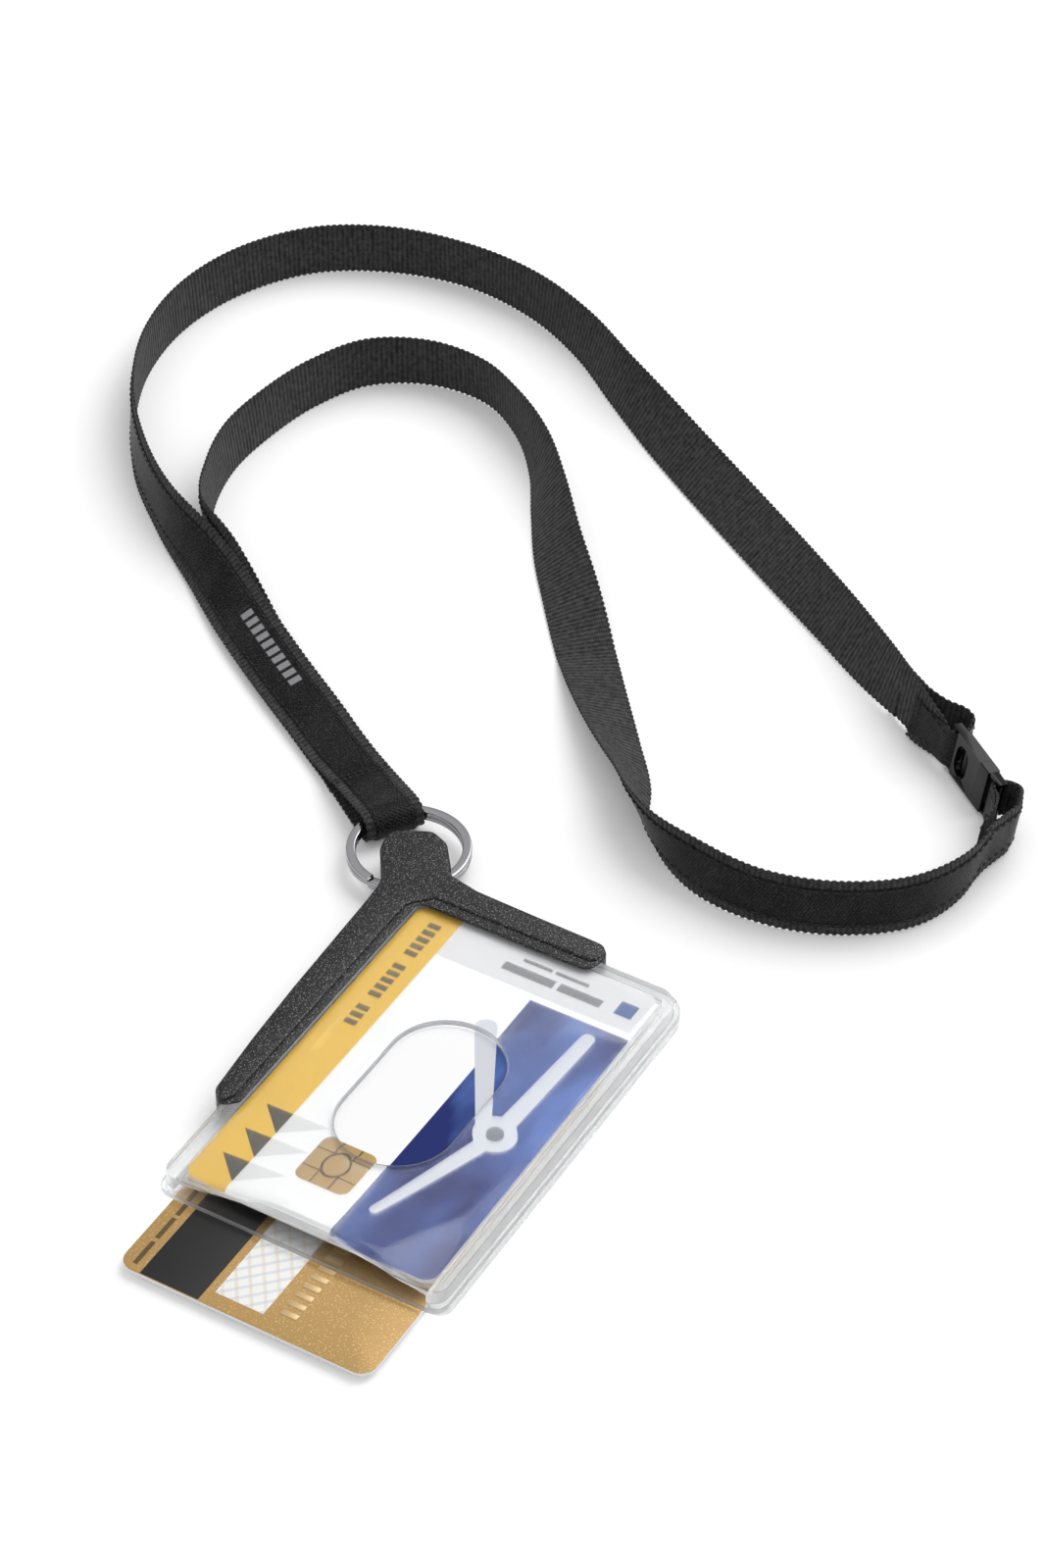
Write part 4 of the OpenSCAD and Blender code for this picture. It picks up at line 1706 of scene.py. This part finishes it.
@dataclass
class SplitRing:
    """A split ring wound twice from flat wire."""

    middle: Point = (56.4, 38.8)
    height: float = 3.8
    outer: float = 12.7
    wire: float = 1.9
    coil: float = 1.14
    pitch: float = 1.2
    start: float = 171.0
    steps: int = 288

    def build(self) -> bpy.types.Object:
        """Sweeps the wire's rounded section twice round, with a short slope between coils.

        Returns:
            The piece.
        """
        centre = np.array([*self.middle, self.height]) + CASE_SHIFT
        radius = self.outer - self.wire / 2
        half_w, half_h, round_off = self.wire / 2, self.coil / 2, 0.28
        section = []
        for cx, cz, first in ((1, 1, 0), (-1, 1, 90), (-1, -1, 180), (1, -1, 270)):
            for step in np.radians([first, first + 30, first + 60, first + 90]):
                section.append((
                    cx * (half_w - round_off) + round_off * math.cos(step),
                    cz * (half_h - round_off) + round_off * math.sin(step),
                ))
        section = np.array(section)
        size = len(section)
        turns = np.linspace(0.01, 2 * math.tau - 0.01, self.steps)
        ramp = 0.42
        share = np.clip((turns - (math.tau - ramp)) / (2 * ramp), 0, 1)
        lift = self.pitch * (share * share * (3 - 2 * share) - 0.5)
        angles = turns + math.radians(self.start)
        points = []
        for angle, z in zip(angles, lift):
            away = np.array([math.cos(angle), math.sin(angle), 0.0])
            for w, h in section:
                points.append(centre + away * (radius + w) + (0, 0, z + h))
        faces = [
            (i * size + k, i * size + (k + 1) % size, (i + 1) * size + (k + 1) % size,
             (i + 1) * size + k)
            for i in range(self.steps - 1)
            for k in range(size)
        ]
        faces += [tuple(range(size)), tuple((self.steps - 1) * size + k for k in range(size))]
        mesh = outward_normals(mesh_from("split_ring_wire", np.array(points), faces))
        piece = add_object("split_ring_wire", mesh, STEEL, 50.0)
        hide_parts("split_ring")
        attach(piece, Body.RING.value)
        return piece


@dataclass
class Cards:
    """The front card with its chip, and the rear card with its stripe, panel and raised row."""

    case: Case
    length: float = 85.6
    width: float = 54.0
    thick: float = 0.76
    corner: float = 3.2
    front_low: float = 4.7
    rear_low: float = 1.1
    rear_out: float = 21.5
    chip: Point = (-27.2, 3.0)

    def outline(self, shift: float = 0.0) -> Callable[[float], np.ndarray]:
        """A card's outline, slid out by a distance."""
        half = self.length / 2
        return lambda g: rounded_box(-half - shift, half - shift, self.width, self.corner,
                                     self.corner, g)

    def front(self) -> list[bpy.types.Object]:
        """The bowed card and its chip.

        Returns:
            The card and the chip.
        """
        over = self.case.over
        plate = Slab(self.outline(), over(self.front_low), over(self.front_low + self.thick),
                     0.06, 2.5)
        card = add_object("front_card_printed", plate.mesh("front_card_printed"), CARD_FACE)
        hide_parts("front_card")
        x, y = self.chip
        contact = Slab(
            lambda g: rounded_box(-6.3, 6.3, 11.6, 2, 2, g) + (x, y),
            over(self.front_low + self.thick - 0.1), over(self.front_low + self.thick + 0.03),
            0.03, 1.0,
        )
        chip = add_object("chip_contacts", contact.mesh("chip_contacts"), CHIP_GOLD)
        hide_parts("chip_module")
        for piece in (card, chip):
            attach(piece, Body.FRONT_CARD.value)
        return [card, chip]

    def film(self, name: str, x0: float, x1: float, y0: float, y1: float, finish: Finish,
             node: str) -> bpy.types.Object:
        """A thin layer on the rear card.

        Args:
            name: The piece's name.
            x0: Its low end along the card.
            x1: Its high end along it.
            y0: Its low side across the card.
            y1: Its high side across it.
            finish: Its finish.
            node: The CAD node that it stands for.

        Returns:
            The piece.
        """
        low = self.rear_low + self.thick
        middle = np.array([0.0, (y0 + y1) / 2])
        plate = Slab(
            lambda g: rounded_box(x0 - self.rear_out, x1 - self.rear_out, y1 - y0, 0.05, 0.05, g)
            + middle,
            level(low - 0.02), level(low + 0.03), 0.01, 20.0,
        )
        piece = add_object(name, plate.mesh(name), finish)
        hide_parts(node)
        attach(piece, Body.REAR_CARD.value)
        return piece

    def rear(self) -> list[bpy.types.Object]:
        """The rear card and what is on it.

        Returns:
            The card, the stripe, the panel and the raised row.
        """
        top = self.rear_low + self.thick
        plate = Slab(self.outline(self.rear_out), level(self.rear_low), level(top), 0.06, 20.0)
        card = add_object("rear_card_printed", plate.mesh("rear_card_printed"), BRONZE)
        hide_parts("rear_card")
        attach(card, Body.REAR_CARD.value)
        stripe = self.film("stripe_film", -42.6, 42.6, 9.3, 22.0, STRIPE, "magnetic_stripe")
        panel = self.film("signature_film", -39.5, 22.0, -2.8, 7.6, PANEL, "signature_panel")
        row = bmesh.new()
        for i in range(8):
            x = -37.2 + 2.5 * i - self.rear_out
            place = Matrix.Translation(Vector((x, -7.0, top + 0.02)) + Vector(CASE_SHIFT))
            bar = place @ Matrix.Diagonal((1.3, 3.4, 0.14, 1))
            bmesh.ops.create_cube(row, size=1.0, matrix=Matrix.Scale(MM, 4) @ bar)
        mesh = bpy.data.meshes.new("raised_row")
        row.to_mesh(mesh)
        row.free()
        raised = add_object("raised_row", bevelled(mesh, 0.05, 2), BRONZE_RAISED)
        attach(raised, Body.REAR_CARD.value)
        return [card, stripe, panel, raised]

    def build(self) -> list[bpy.types.Object]:
        """Builds both cards."""
        return [*self.front(), *self.rear()]


Reach = Callable[[np.ndarray], np.ndarray]


def even_reach(reach: float) -> Reach:
    """The same reach all along a run of strap."""
    return lambda x: np.full(len(x), reach)


def changing_reach(rows: Sequence[Point], sign: float = 1.0) -> Reach:
    """A reach that follows rows of place and reach, times a sign."""
    return lambda x: sign * np.interp(x, *np.array(rows).T)


@dataclass
class Lanyard:
    """The strap: a tab round the ring, two long runs and the folds at the buckle."""

    look: StrapLook = field(default_factory=StrapLook)
    ring_middle: Point = (56.4, 38.8)
    ring_height: float = 3.8
    tab_angle: float = 55.5
    tab_back: float = 10.6
    tab_side: float = 0.5
    tab_half: float = 6.4
    buckle_start: Point = (135.5, -54.3)
    buckle_height: float = 5.9
    buckle_angle: float = -127.0
    buckle_lean: float = 9.0
    path_stride: int = 4

    tab_line: tuple[Point, ...] = (
        (16, -0.3), (14, 0.12), (11, 0.75), (7, 1.6), (3.4, 2.4), (1.2, 2.85), (0, 2.98),
        (-1.1, 2.8), (-2.15, 2.1), (-2.85, 1.0), (-3.0, 0), (-2.85, -1.0), (-2.15, -2.1),
        (-1.1, -2.8), (0, -2.98), (3.4, -3.1), (8, -3.2), (16, -3.26),
    )
    fold_a: tuple[Point, ...] = (
        (-22.6, -3.3), (-16, -2.5), (-12.5, -1.9), (-9.6, 0.2), (-6.2, 4.2), (-5, 4.7),
        (-3.9, 4.1), (-1.3, 1.2), (-0.75, 0.2), (-0.9, -0.7), (-2, -1.5), (-5, -2.0),
        (-9, -2.9), (-14.3, -3.7),
    )
    fold_a_low: tuple[Point, ...] = ((-21, -5.9), (-12, -6), (-6, -4.9), (-3.4, -4.3), (0, -4.3))
    fold_a_high: tuple[Point, ...] = ((-21, 7.6), (-12, 7.4), (-6, 5.6), (-3.4, 4.3), (0, 4.3))
    fold_b: tuple[Point, ...] = (
        (28, -9.9), (24, -5.4), (19.5, -2.5), (16.6, -1.5), (15.5, -1), (15.1, 0),
        (15.5, 1.2), (16.4, 2.7), (17.6, 3.6), (18.8, 3.5), (21, 2.2), (25, -0.6),
        (27.3, -4.8), (29.2, -8.5), (30.9, -11.0),
    )
    fold_b_low: tuple[Point, ...] = (
        (13.6, -4.3), (17.9, -4.3), (21, -5.2), (25, -5.9), (30, -6.9),
    )
    fold_b_high: tuple[Point, ...] = ((13.6, 4.3), (17.9, 4.3), (21, 5.4), (25, 6.6), (30, 6.1))

    def bent(self, line: Sequence[Point], place: Matrix, low: Reach, high: Reach,
             step: float) -> Ribbon:
        """Bends a run of strap along a line in a plane.

        Args:
            line: The line's points in the plane.
            place: Turns the plane and its third axis into the part's frame, in millimetres.
            low: How far the strap reaches down over the line's first coordinate.
            high: How far it reaches up.
            step: The distance between the run's points.

        Returns:
            The run of strap.
        """
        fine = smooth_line(np.array(line), step)
        heading = np.gradient(fine, axis=0)
        heading /= np.linalg.norm(heading, axis=1)[:, None]
        spin = np.array(place.to_3x3())
        origin = np.array(place.translation)
        middle = np.column_stack([fine, np.zeros(len(fine))]) @ spin.T + origin
        across = np.tile(spin[:, 2], (len(fine), 1))
        outward = np.column_stack([-heading[:, 1], heading[:, 0], np.zeros(len(fine))]) @ spin.T
        return Ribbon(middle, across, outward, low(fine[:, 0]), high(fine[:, 0]))

    def tab_place(self) -> Matrix:
        """The frame of the tab.

        Returns:
            The frame in millimetres, with x along the strap and y up.
        """
        centre = Vector((*self.ring_middle, self.ring_height)) + Vector(CASE_SHIFT)
        return (
            Matrix.Translation(centre)
            @ Matrix.Rotation(math.radians(self.tab_angle), 4, "Z")
            @ Matrix.Translation((self.tab_back, -self.tab_side, 0))
            @ Matrix.Rotation(math.radians(90), 4, "X")
        )

    def buckle_place(self) -> Matrix:
        """The frame of the buckle.

        Returns:
            The frame in millimetres, with x from strap A to strap B and z up.
        """
        return (
            Matrix.Translation((*self.buckle_start, self.buckle_height))
            @ Matrix.Rotation(math.radians(self.buckle_angle), 4, "Z")
            @ Matrix.Rotation(math.radians(-self.buckle_lean), 4, "X")
        )

    def tab(self) -> list[bpy.types.Object]:
        """The tab with its satin layer and the seam that closes it.

        Returns:
            Its pieces.
        """
        place = self.tab_place()
        half = even_reach(self.tab_half)
        run = self.bent(self.tab_line, place, half, half, 0.35)
        run.outward = -run.outward
        run.across = -run.across
        pieces = self.look.dress("tab", run, "tab_loop", "tab_ribbon", PLAIN_SATIN)
        seam = [
            np.array([place @ Vector((x, y, z)) for z in np.linspace(-5.6, 5.6, 12)])
            for x, y in ((15.2, 0.52), (14.0, 0.77))
        ]
        tack = BeadRow(1.3, 1.1, 0.3).build("tab_seam", seam, THREAD)
        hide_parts("tab_tack")
        return [*pieces, tack]

    def folded(self, name: str, line: Sequence[Point], low: Sequence[Point],
               high: Sequence[Point], seam_at: Sequence[Point],
               nodes: tuple[str, str]) -> list[bpy.types.Object]:
        """One fold of strap about a bar, with the seam across its end.

        Args:
            name: The fold's name.
            line: The strap's middle line, seen along the bar.
            low: Rows of place and how far down the strap reaches there.
            high: Rows of place and how far up it reaches there.
            seam_at: Where the seam's two rows cross the fold.
            nodes: The CAD nodes of the fold and of its seam.

        Returns:
            The fold's pieces.
        """
        place = self.buckle_place()
        run = self.bent(line, place, changing_reach(low, -1.0), changing_reach(high), 0.4)
        pieces = self.look.dress(name, run, nodes[0], None, PLAIN_SATIN)
        seam = [
            np.array([place @ Vector((x, y, z)) for z in np.linspace(-3.8, 5.0, 10)])
            for x, y in seam_at
        ]
        tack = BeadRow(1.2, 1.0, 0.28).build(name + "_seam", seam, THREAD)
        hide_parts(nodes[1])
        return [*pieces, tack]

    def build(self) -> None:
        """Builds the strap and logs the length of its two long runs."""
        width = self.look.width
        run_a = Ribbon.standing(ROUTE_A, width, self.look.step)
        run_b = Ribbon.standing(ROUTE_B, width, self.look.step)
        strap_a = self.look.dress("strap_a", run_a, "strap_a_web", "strap_a_ribbon", SATIN)
        strap_b = self.look.dress("strap_b", run_b, "strap_b_web", "strap_b_ribbon", PLAIN_SATIN)
        tab = self.tab()
        fold_a = self.folded(
            "fold_a", self.fold_a, self.fold_a_low, self.fold_a_high,
            ((-13.4, -4.35), (-12.2, -4.15)), ("loop_a", "loop_a_tack"),
        )
        fold_b = self.folded(
            "fold_b", self.fold_b, self.fold_b_low, self.fold_b_high,
            ((26.4, -9.05), (25.6, -8.1)), ("loop_b", "loop_b_tack"),
        )
        for piece in (*strap_a, *tab, *fold_a):
            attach(piece, Body.LANYARD.value)
        for piece in fold_b:
            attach(piece, Body.PLUG.value)
        for piece in strap_b:
            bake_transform(piece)
        halves = Buckle(self.buckle_place()).build()
        for run, strap, extra in (
            (run_a, strap_a, [*tab, *fold_a, halves[0]]),
            (run_b, strap_b, [*fold_b, halves[1]]),
        ):
            path = run.middle[:: self.path_stride] * MM
            path = np.vstack([path, run.middle[-1:] * MM])
            length = float(np.linalg.norm(np.diff(path, axis=0), axis=1).sum())
            tuple(path[0])
            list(strap[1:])
            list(extra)
            LOG.info("%s is %.0f mm long", strap[0].name, length / MM)


@dataclass
class Buckle:
    """The breakaway buckle's socket and plug."""

    place: Matrix
    edge: float = 0.26

    def build(self) -> list[bpy.types.Object]:
        """Rounds the edges of both halves.

        Returns:
            The socket and the plug.
        """
        halves = []
        for node, body in (("buckle_socket", Body.LANYARD), ("buckle_plug", Body.PLUG)):
            mesh = softened(node_copy(node), self.edge)
            half = add_object(node + "_moulding", mesh, GLOSS_BLACK, 35.0)
            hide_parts(node)
            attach(half, body.value)
            halves.append(half)
        return halves


@dataclass
class Studio:
    """The camera, the pale floor and the soft light."""

    target: tuple[float, float, float] = (0.08687, 0.02139, 0.0)
    azimuth: float = -59.57
    elevation: float = 41.22
    roll: float = 0.16
    distance: float = 0.8822
    lens: float = 98.34

    def camera(self) -> bpy.types.Object:
        """Places the camera on its line of sight.

        Returns:
            The camera.
        """
        turn, rise = math.radians(self.azimuth), math.radians(self.elevation)
        back = Vector((
            math.sin(turn) * math.cos(rise), -math.cos(turn) * math.cos(rise), math.sin(rise)
        ))
        right = Vector((math.cos(turn), math.sin(turn), 0.0))
        up = back.cross(right)
        lean = math.radians(self.roll)
        axis_x = right * math.cos(lean) + up * math.sin(lean)
        axis_y = up * math.cos(lean) - right * math.sin(lean)
        data = bpy.data.cameras.new("camera")
        data.sensor_fit, data.sensor_height, data.lens = "VERTICAL", 36.0, self.lens
        data.clip_start, data.clip_end = 0.05, 20.0
        made = bpy.data.objects.new("camera", data)
        place = Matrix((axis_x, axis_y, back)).transposed().to_4x4()
        place.translation = Vector(self.target) + back * self.distance
        made.matrix_world = place
        bpy.context.scene.collection.objects.link(made)
        bpy.context.scene.camera = made
        return made

    def lamp(self, name: str, place: tuple[float, float, float], size: float,
             power: float) -> None:
        """Adds a soft square lamp that faces the target.

        Args:
            name: The lamp's name.
            place: Where it stands, in metres.
            size: Its width in metres.
            power: Its power in watts.
        """
        data = bpy.data.lights.new(name, "AREA")
        data.shape, data.size, data.energy = "SQUARE", size, power
        made = bpy.data.objects.new(name, data)
        made.location = place
        aim = Vector(self.target) - Vector(place)
        made.rotation_euler = aim.to_track_quat("-Z", "Y").to_euler()
        bpy.context.scene.collection.objects.link(made)

    def sky(self) -> None:
        """Lights the scene from above, with less light from near the horizon."""
        world = bpy.data.worlds.new("studio")
        world.use_nodes = True
        tree = world.node_tree
        source = tree.nodes.new("ShaderNodeTexCoord").outputs["Generated"]
        height = tree.nodes.new("ShaderNodeSeparateXYZ")
        tree.links.new(source, height.inputs[0])
        ramp = tree.nodes.new("ShaderNodeMapRange")
        ramp.interpolation_type = "SMOOTHSTEP"
        levels = {"From Min": 0.05, "From Max": 0.75, "To Min": 0.16, "To Max": 0.8}
        for key, value in levels.items():
            ramp.inputs[key].default_value = value
        tree.links.new(height.outputs[2], ramp.inputs["Value"])
        back = tree.nodes["Background"]
        back.inputs["Color"].default_value = (1.0, 1.0, 1.0, 1.0)
        tree.links.new(ramp.outputs["Result"], back.inputs["Strength"])
        bpy.context.scene.world = world

    def build(self) -> None:
        """Builds the floor, the lamps and the world's light."""
        reach = 3000.0
        sides = ((-1, -1), (1, -1), (1, 1), (-1, 1))
        corners = np.array([(x * reach, y * reach, 0.0) for x, y in sides])
        floor = add_object("floor", mesh_from("floor", corners, [(0, 1, 2, 3)]), FLOOR)
        self.sky()
        self.lamp("key", (0.9, -0.2, 1.0), 1.1, 11.0)
        scene = bpy.context.scene
        scene.view_settings.view_transform = "Standard"
        most_bounces = 24
        scene.cycles.transparent_max_bounces = 32
        scene.cycles.max_bounces = most_bounces
        scene.cycles.transmission_bounces = most_bounces


def main() -> None:
    """Builds the badge holder around its frame."""
    logging.basicConfig(level=logging.INFO, format="%(message)s")
    FRAME.update(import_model())
    studio = Studio()
    studio.camera()
    lanyard = Lanyard()
    lanyard.build()
    case = Case()
    for made in (*case.build(), Yoke().build(), SplitRing().build(), *Cards(case).build()):
        LOG.info("built %s", made.name)
    studio.build()
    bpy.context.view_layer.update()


if __name__ == "__main__":
    main()
